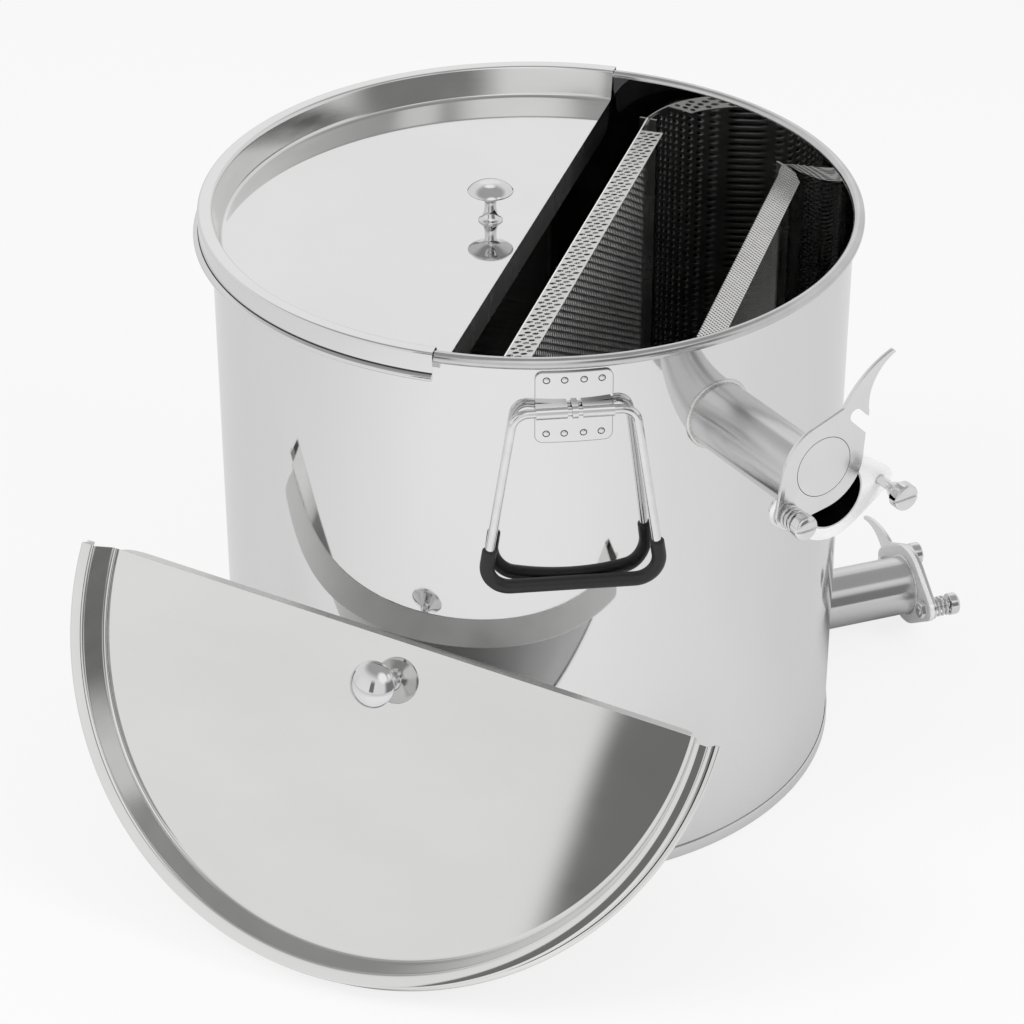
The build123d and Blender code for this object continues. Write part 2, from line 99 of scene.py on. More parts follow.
def add(tree, kind, inputs, **settings):
    """The outputs of a new shader node with these inputs and settings."""
    node = tree.nodes.new("ShaderNode" + kind)
    for key, value in settings.items():
        setattr(node, key, value)
    feed(tree, node, inputs)
    return node.outputs


def blended(tree, operation, *values):
    """A math node on sockets or numbers."""
    return add(tree, "Math", dict(enumerate(values)), operation=operation)[0]


def eased_step(tree, value, low, high, start=0.0, end=1.0):
    """A smooth step from one level to another between two values."""
    levels = {"Value": value, "From Min": low, "From Max": high, "To Min": start, "To Max": end}
    return add(tree, "MapRange", levels, interpolation_type="SMOOTHSTEP")["Result"]


def grey(level):
    """A colour with as much red as green and blue."""
    return level, level, level, 1


def ray_kinds(tree):
    """Two sockets: whether a ray comes from the camera, and whether it comes from something that mirrors."""
    path = add(tree, "LightPath", {})
    mirrored = blended(tree, "MAXIMUM", path["Is Glossy Ray"], path["Is Transmission Ray"])
    return path["Is Camera Ray"], mirrored


def show_mix(tree, output, share, first, second):
    """Shows a mix of two shaders at the tree's output."""
    mix = add(tree, "MixShader", {"Fac": share, 1: first, 2: second})[0]
    feed(tree, tree.nodes[output], {"Surface": mix})


# %% [markdown]
# ## The floor
# Polished steel shows whatever stands around it, so the room is part of the finish. The floor is pale
# paint that keeps the tank's own soft shadow. The camera sees it glow nearly white, and a mirror sees it a
# little greyer, brightest in a pool in front of the tank. An occlusion node dims it in the nook under a
# leaning lid, where no light gets in. Places and reaches of the glow are in metres.

# %% Floor paint
PAINT_LEVEL = 0.86
PAINT_ROUGHNESS = 0.9
PAINT_SHINE = 0.1
FLOOR_GLOW = 0.80
MIRRORED_GLOW = 0.65
POOL_PLACE = (0.1, -0.95, 0)
POOL_REACH = (0.15, 1.25)
POOL_LEVELS = (1.0, 0.76)
NOOK_REACH = 0.2
NOOK_SAMPLES = 8
NOOK_STEP = (0.1, 0.75)
NOOK_LEVELS = (0.1, 1.0)

floor_paint, tree = new_tree("floor_paint")
paint = tree.nodes["Principled BSDF"]
feed(tree, paint, {
    "Base Color": grey(PAINT_LEVEL), "Roughness": PAINT_ROUGHNESS, "Specular IOR Level": PAINT_SHINE,
})
here = add(tree, "TexCoord", {})["Object"]
spread = add(tree, "VectorMath", {0: here, 1: POOL_PLACE}, operation="DISTANCE")["Value"]
pool = eased_step(tree, spread, *POOL_REACH, *POOL_LEVELS)
nook = add(tree, "AmbientOcclusion", {"Distance": NOOK_REACH}, samples=NOOK_SAMPLES)["AO"]
pool = blended(tree, "MULTIPLY", pool, eased_step(tree, nook, *NOOK_STEP, *NOOK_LEVELS))
camera_ray, mirrored = ray_kinds(tree)
white = add(tree, "Emission", {"Strength": blended(tree, "MAXIMUM", camera_ray, pool)})[0]
share = blended(
    tree, "ADD",
    blended(tree, "MULTIPLY", camera_ray, FLOOR_GLOW),
    blended(tree, "MULTIPLY", mirrored, MIRRORED_GLOW),
)
show_mix(tree, "Material Output", share, paint.outputs[0], white)
print("floor paint nodes", len(tree.nodes))

# %% Floor
FLOOR_HALF = 60000.0
FLOOR_DROP = 0.2


def as_object(bm, name):
    """A bmesh as an object in the scene."""
    mesh = bpy.data.meshes.new(name)
    bm.to_mesh(mesh)
    bm.free()
    made = bpy.data.objects.new(name, mesh)
    bpy.context.collection.objects.link(made)
    return made


bm = bmesh.new()
bmesh.ops.create_grid(bm, x_segments=1, y_segments=1, size=FLOOR_HALF * MM)
bmesh.ops.translate(bm, verts=bm.verts, vec=(0, 0, -FLOOR_DROP * MM))
floor = as_object(bm, "floor")
floor.data.materials.append(floor_paint)
print("floor faces", len(floor.data.polygons))

# %% [markdown]
# ## The tent
# The tent around the tank isn't even. It has a few bright soft boxes and two dark gaps, one of them where
# the camera stands. A mirror needs such edges: without them a polished lid would be a blank white shape.
# Each patch is a smooth step on the angle between the direction and the patch's own middle.

# %% Tent
TENT_LEVEL = 0.80
SOFT_BOXES = (
    # bearing, height, inner angle, outer angle, level
    (0.0, 90.0, 32.0, 54.0, 0.40),
    (-67.0, 50.0, 10.0, 22.0, 1.0),
    (-132.0, 4.0, 8.0, 34.0, 0.88),
    (108.0, 50.0, 5.0, 12.0, 1.0),
    (107.0, 24.0, 8.0, 18.0, 0.93),
    (-20.0, 49.0, 4.0, 10.0, 0.9),
)
DARK_GAPS = (
    # bearing, half width, soft edge, level, lowest and highest z of the gap
    (-106.3, 6.0, 0.3, 0.18, 0.10, 0.62),
    (-33.0, 24.0, 9.0, 0.22, -0.10, 0.66),
)
GAP_FOOT = 0.08
GAP_HEAD = 0.2

world = bpy.data.worlds.new("tent")
world.use_nodes = True
tree = world.node_tree


def nearness(way, bearing, height=0.0):
    """The cosine of the angle between a direction and a bearing and height in degrees."""
    level = cos(radians(height))
    aim = (level * cos(radians(bearing)), level * sin(radians(bearing)), sin(radians(height)))
    return add(tree, "VectorMath", {0: way, 1: aim}, operation="DOT_PRODUCT")["Value"]


def within(near, inner, outer):
    """One inside an inner angle and zero outside an outer one, in degrees."""
    return eased_step(tree, near, cos(radians(outer)), cos(radians(inner)))


def colour_mix(share, first, second):
    """A mix of two colours, each a socket or four numbers."""
    return add(tree, "Mix", {0: share, 6: first, 7: second}, data_type="RGBA")[2]


way = add(tree, "TexCoord", {})["Generated"]
rise = add(tree, "SeparateXYZ", {0: way})["Z"]
level_way = add(tree, "VectorMath", {0: way, 1: (1, 1, 0)}, operation="MULTIPLY")["Vector"]
level_way = add(tree, "VectorMath", {0: level_way}, operation="NORMALIZE")["Vector"]
tent = grey(TENT_LEVEL)
for bearing, height, inner, outer, level in SOFT_BOXES:
    tent = colour_mix(within(nearness(way, bearing, height), inner, outer), tent, grey(level))
for bearing, half_width, edge, level, low, high in DARK_GAPS:
    across = within(nearness(level_way, bearing), half_width - edge, half_width + edge)
    above = eased_step(tree, rise, low - GAP_FOOT, low)
    below = eased_step(tree, rise, high - GAP_HEAD, high, 1.0, 0.0)
    gap = blended(tree, "MULTIPLY", across, blended(tree, "MULTIPLY", above, below))
    tent = colour_mix(gap, tent, grey(level))
print("tent", len(SOFT_BOXES), "soft boxes and", len(DARK_GAPS), "dark gaps")

# %% [markdown]
# The tent could also light the tank, but a change to a reflection would then change every shadow. So the
# two are set apart: an even fill lights everything, and only mirrors see the tent. The camera sees white.

# %% World
TENT_FILL = 0.62
fill = tree.nodes["Background"]
feed(tree, fill, {"Color": grey(1.0), "Strength": TENT_FILL})
camera_ray, mirrored = ray_kinds(tree)
seen = add(tree, "Background", {"Color": colour_mix(camera_ray, tent, grey(1.0))})[0]
any_seen = blended(tree, "MAXIMUM", camera_ray, mirrored)
show_mix(tree, "World Output", any_seen, fill.outputs[0], seen)
bpy.context.scene.world = world
bpy.context.scene.view_settings.view_transform = "Standard"
print("world nodes", len(tree.nodes))

# %% [markdown]
# Two soft lamps draw the shadows. They could show in the steel as well, but their mirrored squares would burn
# out to white, so the steel doesn't see them.

# %% Lamps
LAMPS = {
    # place and size in metres, power in watts
    "key_box": ((-1.6, -1.6, 2.6), 1.4, 34),
    "side_box": ((2.4, -0.6, 1.8), 1.0, 24),
}
LAMP_AIM = Vector((0, 0, 0.2))
for name, (place, size, power) in LAMPS.items():
    lamp = bpy.data.lights.new(name, "AREA")
    lamp.size = size
    lamp.energy = power
    softbox = bpy.data.objects.new(name, lamp)
    aim = (LAMP_AIM - Vector(place)).normalized().to_track_quat("-Z", "Y")
    softbox.matrix_world = Matrix.Translation(place) @ aim.to_matrix().to_4x4()
    softbox.visible_glossy = False
    bpy.context.collection.objects.link(softbox)

# %% [markdown]
# ## Finishes
# Nearly everything here is stainless steel, and what tells the pieces apart is how each sheet was worked.
# A metal's colour is its reflection colour, so the base colours are near white, and roughness does the
# telling: it could be one number, but a noise that drives it gives the faint smears of handled steel.

# %% A steel with its own polish
DRIFT_ENDS = (0.3, 0.7)
DRIFT_DETAIL = 4.0
SWELL_SCALE = 9.0
SWELL_DETAIL = 1.0
SWELL_HEIGHT = 1.0


def ramp(tree, share, dark, light, ends=(0.0, 1.0)):
    """A colour ramp from one colour to another between two places."""
    node = tree.nodes.new("ShaderNodeValToRGB")
    for stop, place, colour in zip(node.color_ramp.elements, ends, (dark, light)):
        stop.position = place
        stop.color = colour
    feed(tree, node, {"Fac": share})
    return node.outputs["Color"]


def steel(name, light, dark, rough, grain, wave=0.0, metal=1.0, blue=0.0):
    """Steel whose grey and roughness drift between two levels, with an optional wavy surface."""
    material, tree = new_tree(name)
    shader = tree.nodes["Principled BSDF"]
    here = add(tree, "TexCoord", {})["Object"]
    scale = grain if isinstance(grain, tuple) else (grain, grain, grain)
    stretched = add(tree, "Mapping", {"Vector": here, "Scale": scale})["Vector"]
    drift = add(tree, "TexNoise", {"Vector": stretched, "Scale": 1.0, "Detail": DRIFT_DETAIL})["Fac"]
    dark_tint, light_tint = ((level, level, level + blue, 1) for level in (dark, light))
    low, high = DRIFT_ENDS
    levels = {"Value": drift, "From Min": low, "From Max": high, "To Min": rough[0], "To Max": rough[1]}
    feed(tree, shader, {
        "Metallic": metal,
        "Base Color": ramp(tree, drift, dark_tint, light_tint, DRIFT_ENDS),
        "Roughness": add(tree, "MapRange", levels)["Result"],
    })
    if wave:
        swell = add(tree, "TexNoise", {"Vector": here, "Scale": SWELL_SCALE, "Detail": SWELL_DETAIL})["Fac"]
        bump = add(tree, "Bump", {"Strength": wave, "Distance": SWELL_HEIGHT * MM, "Height": swell})
        feed(tree, shader, {"Normal": bump["Normal"]})
    return material


# %% [markdown]
# Each finish takes a light and a dark grey, its roughness and the scale of its smears. The drum's outside and
# the lids are polished, with a slight wave where thin sheet gives. The inside sheet is painted darker: that
# is painted shade, for the shade inside the tank and under the lids. Bends and drawn walls are duller than
# the flats that they join.

# %% Sheet finishes
mirror_sheet = steel("mirror_sheet", 0.79, 0.76, (0.03, 0.06), (9, 9, 3), wave=0.12)
painted_shade_sheet = steel("painted_shade_sheet", 0.42, 0.38, (0.03, 0.07), (30, 30, 2))
lid_sheet_mirror = steel("lid_sheet_mirror", 0.79, 0.76, (0.03, 0.06), 8, wave=0.03)
lid_sheet_satin = steel("lid_sheet_satin", 0.80, 0.76, (0.02, 0.045), (6, 14, 14), wave=0.03, blue=-0.01)
bead_sheet = steel("bead_sheet", 0.66, 0.58, (0.10, 0.18), 40)
drawn_wall = steel("drawn_wall", 0.79, 0.72, (0.10, 0.17), (14, 14, 60), blue=-0.01)
lip_sheet = steel("lip_sheet", 0.80, 0.75, (0.30, 0.38), 40, blue=-0.01)
shaded_steel = steel("shaded_steel", 0.24, 0.16, (0.22, 0.30), (30, 30, 4))

# %% [markdown]
# The gates' plates are brushed, the turned parts are bright, and springs, welds and engraved lines have a
# grain so fine that it only dulls them. The dark line steel marks the engraving on the blades, and is also
# painted shade in the hems' creases and around the rivet heads.

# %% Gate and hardware finishes
gate_plate = steel("gate_plate", 0.82, 0.78, (0.20, 0.25), 25)
flange_steel = steel("flange_steel", 0.97, 0.94, (0.30, 0.36), 25, metal=0.2)
chrome = steel("chrome", 0.80, 0.74, (0.03, 0.07), 80, blue=0.01)
spring_steel = steel("spring_steel", 0.78, 0.66, (0.15, 0.25), 400)
weld_bead = steel("weld_bead", 0.80, 0.66, (0.18, 0.30), 500, blue=-0.01)
engraving_and_shade_line = steel("engraving_and_shade_line", 0.12, 0.06, (0.5, 0.6), 900)

# %% [markdown]
# Punched sheet has two faces to tell apart: the webs between the holes and the walls of the holes. Seen along
# the sheet, the webs mirror the dark tank while the walls catch the light from above, and that makes the
# stripes, so the sheet's hole walls are painted near white as a painted highlight. On the lip, which is seen
# from above, it is the other way round, and its hole walls are painted near black as painted shade.

# %% Strainer finishes
punched_steel = steel("punched_steel", 0.72, 0.64, (0.34, 0.44), 30, blue=-0.01)
painted_lit_holes = steel("painted_lit_holes", 0.99, 0.95, (0.5, 0.6), 30, metal=0.0, blue=-0.01)
punched_lip = steel("punched_lip", 0.68, 0.60, (0.34, 0.44), 30, metal=0.4, blue=-0.01)
painted_shaded_holes = steel("painted_shaded_holes", 0.03, 0.02, (0.6, 0.7), 30, metal=0.0)
cloth_steel = steel("cloth_steel", 0.82, 0.74, (0.20, 0.28), 30, blue=-0.01)
# The upright fine cloth is set darker than its lip, as painted shade.
shaded_cloth = steel("shaded_cloth", 0.48, 0.38, (0.18, 0.26), 30, blue=-0.01)
print("materials", len(bpy.data.materials))

# %% [markdown]
# The grips are black rubber hose. Rubber isn't a metal: it has a dark body with a weak, broad shine, and
# a fine pebbled skin that a small bump gives.

# %% Grip rubber
RUBBER_LEVELS = (0.006, 0.020)
RUBBER_ROUGHNESS = 0.42
PEBBLE_SCALE = 900.0
PEBBLE_DETAIL = 3.0
PEBBLE_STRENGTH = 0.25
PEBBLE_HEIGHT = 0.2

hose_rubber, tree = new_tree("hose_rubber")
here = add(tree, "TexCoord", {})["Object"]
pebbles = add(tree, "TexNoise", {"Vector": here, "Scale": PEBBLE_SCALE, "Detail": PEBBLE_DETAIL})["Fac"]
bump = add(tree, "Bump", {"Strength": PEBBLE_STRENGTH, "Distance": PEBBLE_HEIGHT * MM, "Height": pebbles})
feed(tree, tree.nodes["Principled BSDF"], {
    "Base Color": ramp(tree, pebbles, *(grey(level) for level in RUBBER_LEVELS)),
    "Roughness": RUBBER_ROUGHNESS,
    "Normal": bump["Normal"],
})
print("rubber nodes", len(tree.nodes))

# %% [markdown]
# ## Turned and rolled pieces
# Most pieces are turned or rolled. They could be cylinders and rings put together, but every joint between
# them would show, so a profile of a few points is spun about an axis. `arc` and `curve` give the round
# stretches of a profile, and `spun` spins it.

# %% Profiles
def arc(centre, radius, start, end, steps=8):
    """Profile points on an arc, from one angle to another in degrees."""
    turns = [radians(start + (end - start) * i / steps) for i in range(steps + 1)]
    return [(centre[0] + radius * cos(t), centre[1] + radius * sin(t)) for t in turns]


def curve(start, start_handle, end_handle, end, steps=12):
    """Profile points on a Bezier curve."""
    knots = [Vector((*p, 0)) for p in (start, start_handle, end_handle, end)]
    return [(p.x, p.y) for p in interpolate_bezier(*knots, steps + 1)]


def spun(profile, steps, turn=2 * pi, closed=False):
    """A bmesh of a profile of radius and height in millimetres, spun about Z."""
    bm = bmesh.new()
    verts = [bm.verts.new((r * MM, 0, z * MM)) for r, z in profile]
    ends = verts[1:] + verts[:1] if closed else verts[1:]
    edges = [bm.edges.new(pair) for pair in zip(verts, ends)]
    whole = abs(abs(turn) - 2 * pi) < 1e-6
    bmesh.ops.spin(
        bm, geom=verts + edges, cent=(0, 0, 0), axis=(0, 0, 1), dvec=(0, 0, 0),
        angle=turn, steps=steps, use_merge=whole, use_duplicate=False,
    )
    bmesh.ops.remove_doubles(bm, verts=bm.verts, dist=1e-6)
    bmesh.ops.recalc_face_normals(bm, faces=bm.faces)
    return bm


# %% [markdown]
# `piece` turns a finished bmesh into an object: smooth faces, sharp edges by angle, finishes that the faces
# pick by number, a body to ride on and the nodes that it stands for.

# %% Pieces
SMOOTH_ANGLE = 40


def smoothed(mesh, angle=SMOOTH_ANGLE):
    """Smooths a mesh and keeps edges sharp that turn by more than an angle in degrees."""
    mesh.shade_smooth()
    mesh.set_sharp_from_angle(angle=radians(angle))


def piece(bm, name, finishes, body, slot, *stands_for, place=None, smooth=SMOOTH_ANGLE):
    """The bmesh as a finished object that rides on a body."""
    if place is not None:
        bmesh.ops.transform(bm, matrix=place, verts=bm.verts)
    made = as_object(bm, name)
    smoothed(made.data, smooth)
    for finish in finishes:
        made.data.materials.append(finish)
    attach(made, body)
    if stands_for:
        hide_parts(*stands_for)
    print(name, "faces", len(made.data.polygons))
    return made


# %% [markdown]
# ## The drum
# The drum is a rolled sheet whose rim is curled into a round bead. A cylinder with a torus on it would show
# the joint, so one closed profile holds wall and bead and is spun once.

# %% Drum
DRUM_RADIUS = 250.0
DRUM_INNER = 248.8
DRUM_HEIGHT = 472.0
BEAD_RADIUS = 4.6
BEAD_CENTRE = (DRUM_INNER + BEAD_RADIUS, DRUM_HEIGHT - BEAD_RADIUS)
SHEET = 1.2
ROUND_STEPS = 256

meeting = 180 + 180 / pi * asin(sqrt(1 - ((DRUM_RADIUS - BEAD_CENTRE[0]) / BEAD_RADIUS) ** 2))
drum_profile = [(DRUM_INNER, SHEET)] + arc(BEAD_CENTRE, BEAD_RADIUS, 180, meeting - 360, 28)
drum_profile += [(DRUM_RADIUS, SHEET)]
drum = piece(
    spun(drum_profile, ROUND_STEPS, closed=True), "drum_wall", [mirror_sheet], "tank", "polished_steel",
    "tank_shell",
)

# %% [markdown]
# Two outlet holes go through the wall. They could be modelled into it, but that would break up its faces, so
# they are cut by a boolean. Outlets and handles sit on the wall, and `on_wall` gives a place there with its
# own axes.

# %% Outlet holes
PIPE_RADIUS = 25.5
PIPE_FIT = 0.05
HOLE_CUT = (200.0, 300.0)
HOLE_STEPS = 96
OUTLETS = {
    # bearing in degrees, reach from the drum's axis, height
    "upper": (-41.0, 388.0, 401.0),
    "lower": (36.0, 353.0, 38.0),
}


def on_wall(bearing, radius, height):
    """A place on the drum: x along the wall, y up, z outwards. Degrees and millimetres."""
    turn = radians(bearing)
    outward = Vector((cos(turn), sin(turn), 0))
    along = Vector((-sin(turn), cos(turn), 0))
    place = Matrix((along, Vector((0, 0, 1)), outward)).transposed().to_4x4()
    place.translation = (outward * radius + Vector((0, 0, height))) * MM
    return place


def cut_out(target, cutter_bm):
    """Subtracts a closed bmesh from an object's mesh with an exact boolean."""
    cutter = as_object(cutter_bm, "cutter")
    cutter_mesh = cutter.data
    change = target.modifiers.new("cut", "BOOLEAN")
    change.operation = "DIFFERENCE"
    change.solver = "EXACT"
    change.object = cutter
    graph = bpy.context.evaluated_depsgraph_get()
    result = bpy.data.meshes.new_from_object(target.evaluated_get(graph))
    target.modifiers.clear()
    old = target.data
    result.name = old.name
    target.data = result
    bpy.data.meshes.remove(old)
    bpy.data.objects.remove(cutter)
    bpy.data.meshes.remove(cutter_mesh)
    smoothed(result)


GATES = {gate: (on_wall(*place), place[1]) for gate, place in OUTLETS.items()}
for seat, reach in GATES.values():
    low, high = HOLE_CUT[0] - reach, HOLE_CUT[1] - reach
    hole = PIPE_RADIUS + PIPE_FIT
    tube = spun([(0, low), (hole, low), (hole, high), (0, high)], HOLE_STEPS)
    bmesh.ops.transform(tube, matrix=seat, verts=tube.verts)
    cut_out(drum, tube)
print("drum faces", len(drum.data.polygons))

# %% [markdown]
# A boolean leaves long faces whose averaged normals would dent the mirror. They could be cut up finer, but
# it is simpler to set the wall's normals from the drum's own radius. The same loop tells the inside and the
# bead from the outside, and gives them their finishes: the inside gets the darker sheet as painted shade.

# %% Drum wall
drum.data.materials.append(painted_shade_sheet)
drum.data.materials.append(bead_sheet)
INSIDE, BEAD = 1, 2
wall_normals = []
for face in drum.data.polygons:
    middle = Vector((face.center.x, face.center.y, 0))
    outward = face.normal.dot(middle.normalized())
    flat_wall = abs(face.normal.z) < 0.01 and abs(outward) > 0.99
    if flat_wall and outward < 0:
        face.material_index = INSIDE
    elif face.center.z > (BEAD_CENTRE[1] - BEAD_RADIUS) * MM:
        face.material_index = BEAD
    for loop in face.loop_indices:
        place = drum.data.vertices[drum.data.loops[loop].vertex_index].co
        round_way = Vector((place.x, place.y, 0)).normalized()
        corner = drum.data.corner_normals[loop].vector
        wall_normals.append(tuple(round_way * (1 if outward > 0 else -1)) if flat_wall else tuple(corner))
drum.data.normals_split_custom_set(wall_normals)
print("wall normals", len(wall_normals))

# %% [markdown]
# ## The pan
# The floor is a shallow pan folded up around the foot of the drum. It could be a disc and a ring, but its
# fold is a small arc of one profile, and the top of its wall is dressed round so that the light catches a
# thin line there.

# %% Pan
PAN_INNER = 250.1
PAN_OUTER = 251.3
PAN_WALL = 11.0
PAN_BEND = 2.0
PAN_EDGE = 0.6
pan_profile = [(0, 0)] + arc((PAN_OUTER - PAN_BEND, PAN_BEND), PAN_BEND, -90, 0, 6)
pan_profile += arc(((PAN_INNER + PAN_OUTER) / 2, PAN_WALL - PAN_EDGE), PAN_EDGE, 0, 180, 6)
pan_profile += [(PAN_INNER, SHEET), (0, SHEET)]
pan = piece(
    spun(pan_profile, ROUND_STEPS), "drum_pan", [mirror_sheet, painted_shade_sheet], "tank", "polished_steel",
    "tank_bottom",
)
# The pan's floor inside the drum gets the darker sheet, as painted shade.
for face in pan.data.polygons:
    if face.normal.z > 0.9 and face.center.xy.length < PAN_INNER * MM:
        face.material_index = INSIDE

# %% [markdown]
# ## The lid halves
# A half lid is one drawn sheet: a sunk panel, a sloped wall, a ledge that sits on the bead and a skirt with
# a rolled hem. It could be a whole lid cut by a boolean, but a profile spun through half a turn is cleaner.
# Two helpers finish it: `cut_off` trims a mesh at a plane, and `rounded` bevels its edges.

# %% Trimming and rounding
def edges_of(geometry):
    """The edges among mixed geometry."""
    return [g for g in geometry if isinstance(g, bmesh.types.BMEdge)]


def cut_off(bm, point, normal):
    """Trims all that lies beyond a plane, and gives the edges of the cut."""
    cut = bmesh.ops.bisect_plane(
        bm, geom=bm.verts[:] + bm.edges[:] + bm.faces[:], dist=1e-7,
        plane_co=point, plane_no=normal, clear_outer=True,
    )
    return edges_of(cut["geom_cut"])


def rounded(bm, edges, width, segments=3):
    """Bevels edges to a round, by a width in millimetres."""
    bmesh.ops.bevel(
        bm, geom=edges, offset=width * MM, offset_type="OFFSET", segments=segments, profile=0.5,
        affect="EDGES", material=-1, clamp_overlap=True,
    )


# %% [markdown]
# The profile runs over the top of the sheet and back underneath. After the cut, faces are told apart by
# where they lie: the drawn wall is duller than the panel, and the underside gets the darker sheet as painted
# shade, for the shade under a lid.

# %% Lid shape
LID_PANEL = 24.0
LID_FOOT = 243.0
LID_HEAD = 248.5
LID_SHEET = 1.0
LID_BEND = 2.0
LID_GAP = 0.5
LID_FOLD = 0.8
LID_STEPS = 180
SKIRT_INNER = 259.0
SKIRT_OUTER = 260.0
SKIRT_DEPTH = 22.0
HEM_RADIUS = 2.25
HEM_OUTER = 264.0
DRAWN, UNDERSIDE = 1, 2


def lid_half():
    """A half lid with its ledge at z = 0 and its straight edge along x."""
    hem = (HEM_OUTER - HEM_RADIUS, HEM_RADIUS - SKIRT_DEPTH)
    bend = (SKIRT_OUTER - LID_BEND, -LID_BEND)
    bottom = -LID_PANEL - LID_SHEET
    top = [(0, -LID_PANEL), (LID_FOOT - 4, -LID_PANEL)] + curve(
        (LID_FOOT - 3, -LID_PANEL), (LID_FOOT - 1, -LID_PANEL), (LID_FOOT, -LID_PANEL + 0.6),
        (LID_FOOT + 0.6, -LID_PANEL + 3), 6,
    )
    top += curve((LID_HEAD - 0.6, -3), (LID_HEAD, -0.6), (LID_HEAD + 1, 0), (LID_HEAD + 3, 0), 6)
    top += arc(bend, LID_BEND, 90, 0)
    top += [(SKIRT_OUTER, hem[1] + HEM_RADIUS + 0.6)]
    top += arc(hem, HEM_RADIUS, 90, -90, 10)
    under = [(SKIRT_INNER, -SKIRT_DEPTH)] + arc(bend, LID_BEND - LID_SHEET, 0, 90)
    under += [(LID_HEAD + 1.4, -LID_SHEET), (LID_FOOT + 1.2, bottom), (0, bottom)]
    bm = spun(top + under, LID_STEPS, -pi)
    rim = cut_off(bm, (0, -LID_GAP * MM, 0), (0, 1, 0))
    bmesh.ops.contextual_create(bm, geom=rim)
    fold = [
        e for e in rim
        if e.is_valid and all(abs(v.co.z + LID_PANEL * MM) < 1e-6 for v in e.verts)
    ]
    rounded(bm, fold, LID_FOLD, 4)
    bmesh.ops.recalc_face_normals(bm, faces=bm.faces)
    for face in bm.faces:
        middle = face.calc_center_median() / MM
        out = middle.xy.length
        if LID_FOOT < out < LID_HEAD + 1 and -LID_PANEL + 1 < middle.z < -1 and face.normal.z > 0:
            face.material_index = DRAWN
        elif out < LID_HEAD and face.normal.z < -0.2:
            face.material_index = UNDERSIDE
    return bm


# %% [markdown]
# Two small pieces belong to a half lid. The lip that hangs from the split is a plate with round corners, so
# an outline is extruded. Where the skirt meets its hem there is a crease that holds shadow. It could be left
# to the light, but the fold is too tight to come out dark by itself, so a thin ring of painted shadow is
# spun there.

# %% Lip and crease
LIP_HALF = 237.0
LIP_DEPTH = 48.0
LIP_CORNER = 14.0
CREASE_HEIGHT = 1.1
CREASE_SUNK = 0.2
CREASE_PROUD = 0.45


def verts_of(geometry):
    """The vertices among mixed geometry."""
    return [g for g in geometry if isinstance(g, bmesh.types.BMVert)]


def extruded(outline, way):
    """A flat outline given a thickness along a direction, all in millimetres."""
    bm = bmesh.new()
    face = bm.faces.new([bm.verts.new([x * MM for x in corner]) for corner in outline])
    out = bmesh.ops.extrude_face_region(bm, geom=[face])
    bmesh.ops.translate(bm, verts=verts_of(out["geom"]), vec=[x * MM for x in way])
    bmesh.ops.recalc_face_normals(bm, faces=bm.faces)
    return bm


def lid_lip():
    """The plate that hangs from the straight edge, with round lower corners."""
    inner = LIP_HALF - LIP_CORNER
    low = LIP_CORNER - LIP_DEPTH
    high = -LID_PANEL - LID_SHEET / 2
    outline = [(LIP_HALF, high)] + arc((inner, low), LIP_CORNER, 0, -90)
    outline += arc((-inner, low), LIP_CORNER, -90, -180) + [(-LIP_HALF, high)]
    return extruded([(x, -LID_GAP, z) for x, z in outline], (0, -LID_SHEET, 0))


def crease_shadow():
    """A ring of painted shadow in the crease between the skirt and its rolled hem."""
    foot = 2 * HEM_RADIUS - SKIRT_DEPTH
    head = foot + CREASE_HEIGHT
    inner, outer = SKIRT_OUTER - CREASE_SUNK, SKIRT_OUTER + CREASE_PROUD
    bm = spun([(inner, head), (outer, head), (outer, foot), (inner, foot)], LID_STEPS, -pi, closed=True)
    cut_off(bm, (0, -LID_GAP * MM, 0), (0, 1, 0))
    bmesh.ops.holes_fill(bm, edges=[e for e in bm.edges if e.is_boundary], sides=0)
    return bm


# %% [markdown]
# Both halves are the same shape on different seats. The left half sits on the bead. The right half is off: it
# stands on the floor on its hem, leans back on the drum and is rolled a little, so its seat is built up from
# those angles.

# %% Lid seats
LID_HEIGHT = 473.3
PROP_BEARING = -95.4
PROP_TILT = 29.4
PROP_ROLL = -5.2
PROP_SHIFT = 10.0
PROP_GAP = 0.4

left_seat = Matrix(((0, 1, 0, 0), (-1, 0, 0, 0), (0, 0, 1, LID_HEIGHT * MM), (0, 0, 0, 1)))
tilt, bearing, roll = radians(PROP_TILT), radians(PROP_BEARING), radians(PROP_ROLL)
lid_face = Vector((cos(tilt) * cos(bearing), cos(tilt) * sin(bearing), sin(tilt)))
level = Vector((0, 0, 1)).cross(lid_face).normalized()
lid_edge = level * cos(roll) + lid_face.cross(level) * sin(roll)
edge_level = Vector((lid_edge.x, lid_edge.y, 0)).normalized()
away = Vector((edge_level.y, -edge_level.x, 0))
prop_height = HEM_OUTER * cos(tilt) + SKIRT_DEPTH * sin(tilt)
lean = Vector((lid_face.x, lid_face.y, 0)).dot(away) * LIP_DEPTH
prop_origin = away * (DRUM_RADIUS + PROP_GAP + lean) + edge_level * PROP_SHIFT
right_seat = Matrix((lid_edge, lid_face.cross(lid_edge), lid_face)).transposed().to_4x4()
right_seat.translation = (prop_origin + Vector((0, 0, prop_height))) * MM
print("right lid at", [round(x, 4) for x in right_seat.translation])

# %% [markdown]
# The finish of the panel shows every flaw in its shading. Smooth shading bends the normals of a flat face
# that meets a round one, so `keep_flat` gives the large faces their own normals back.

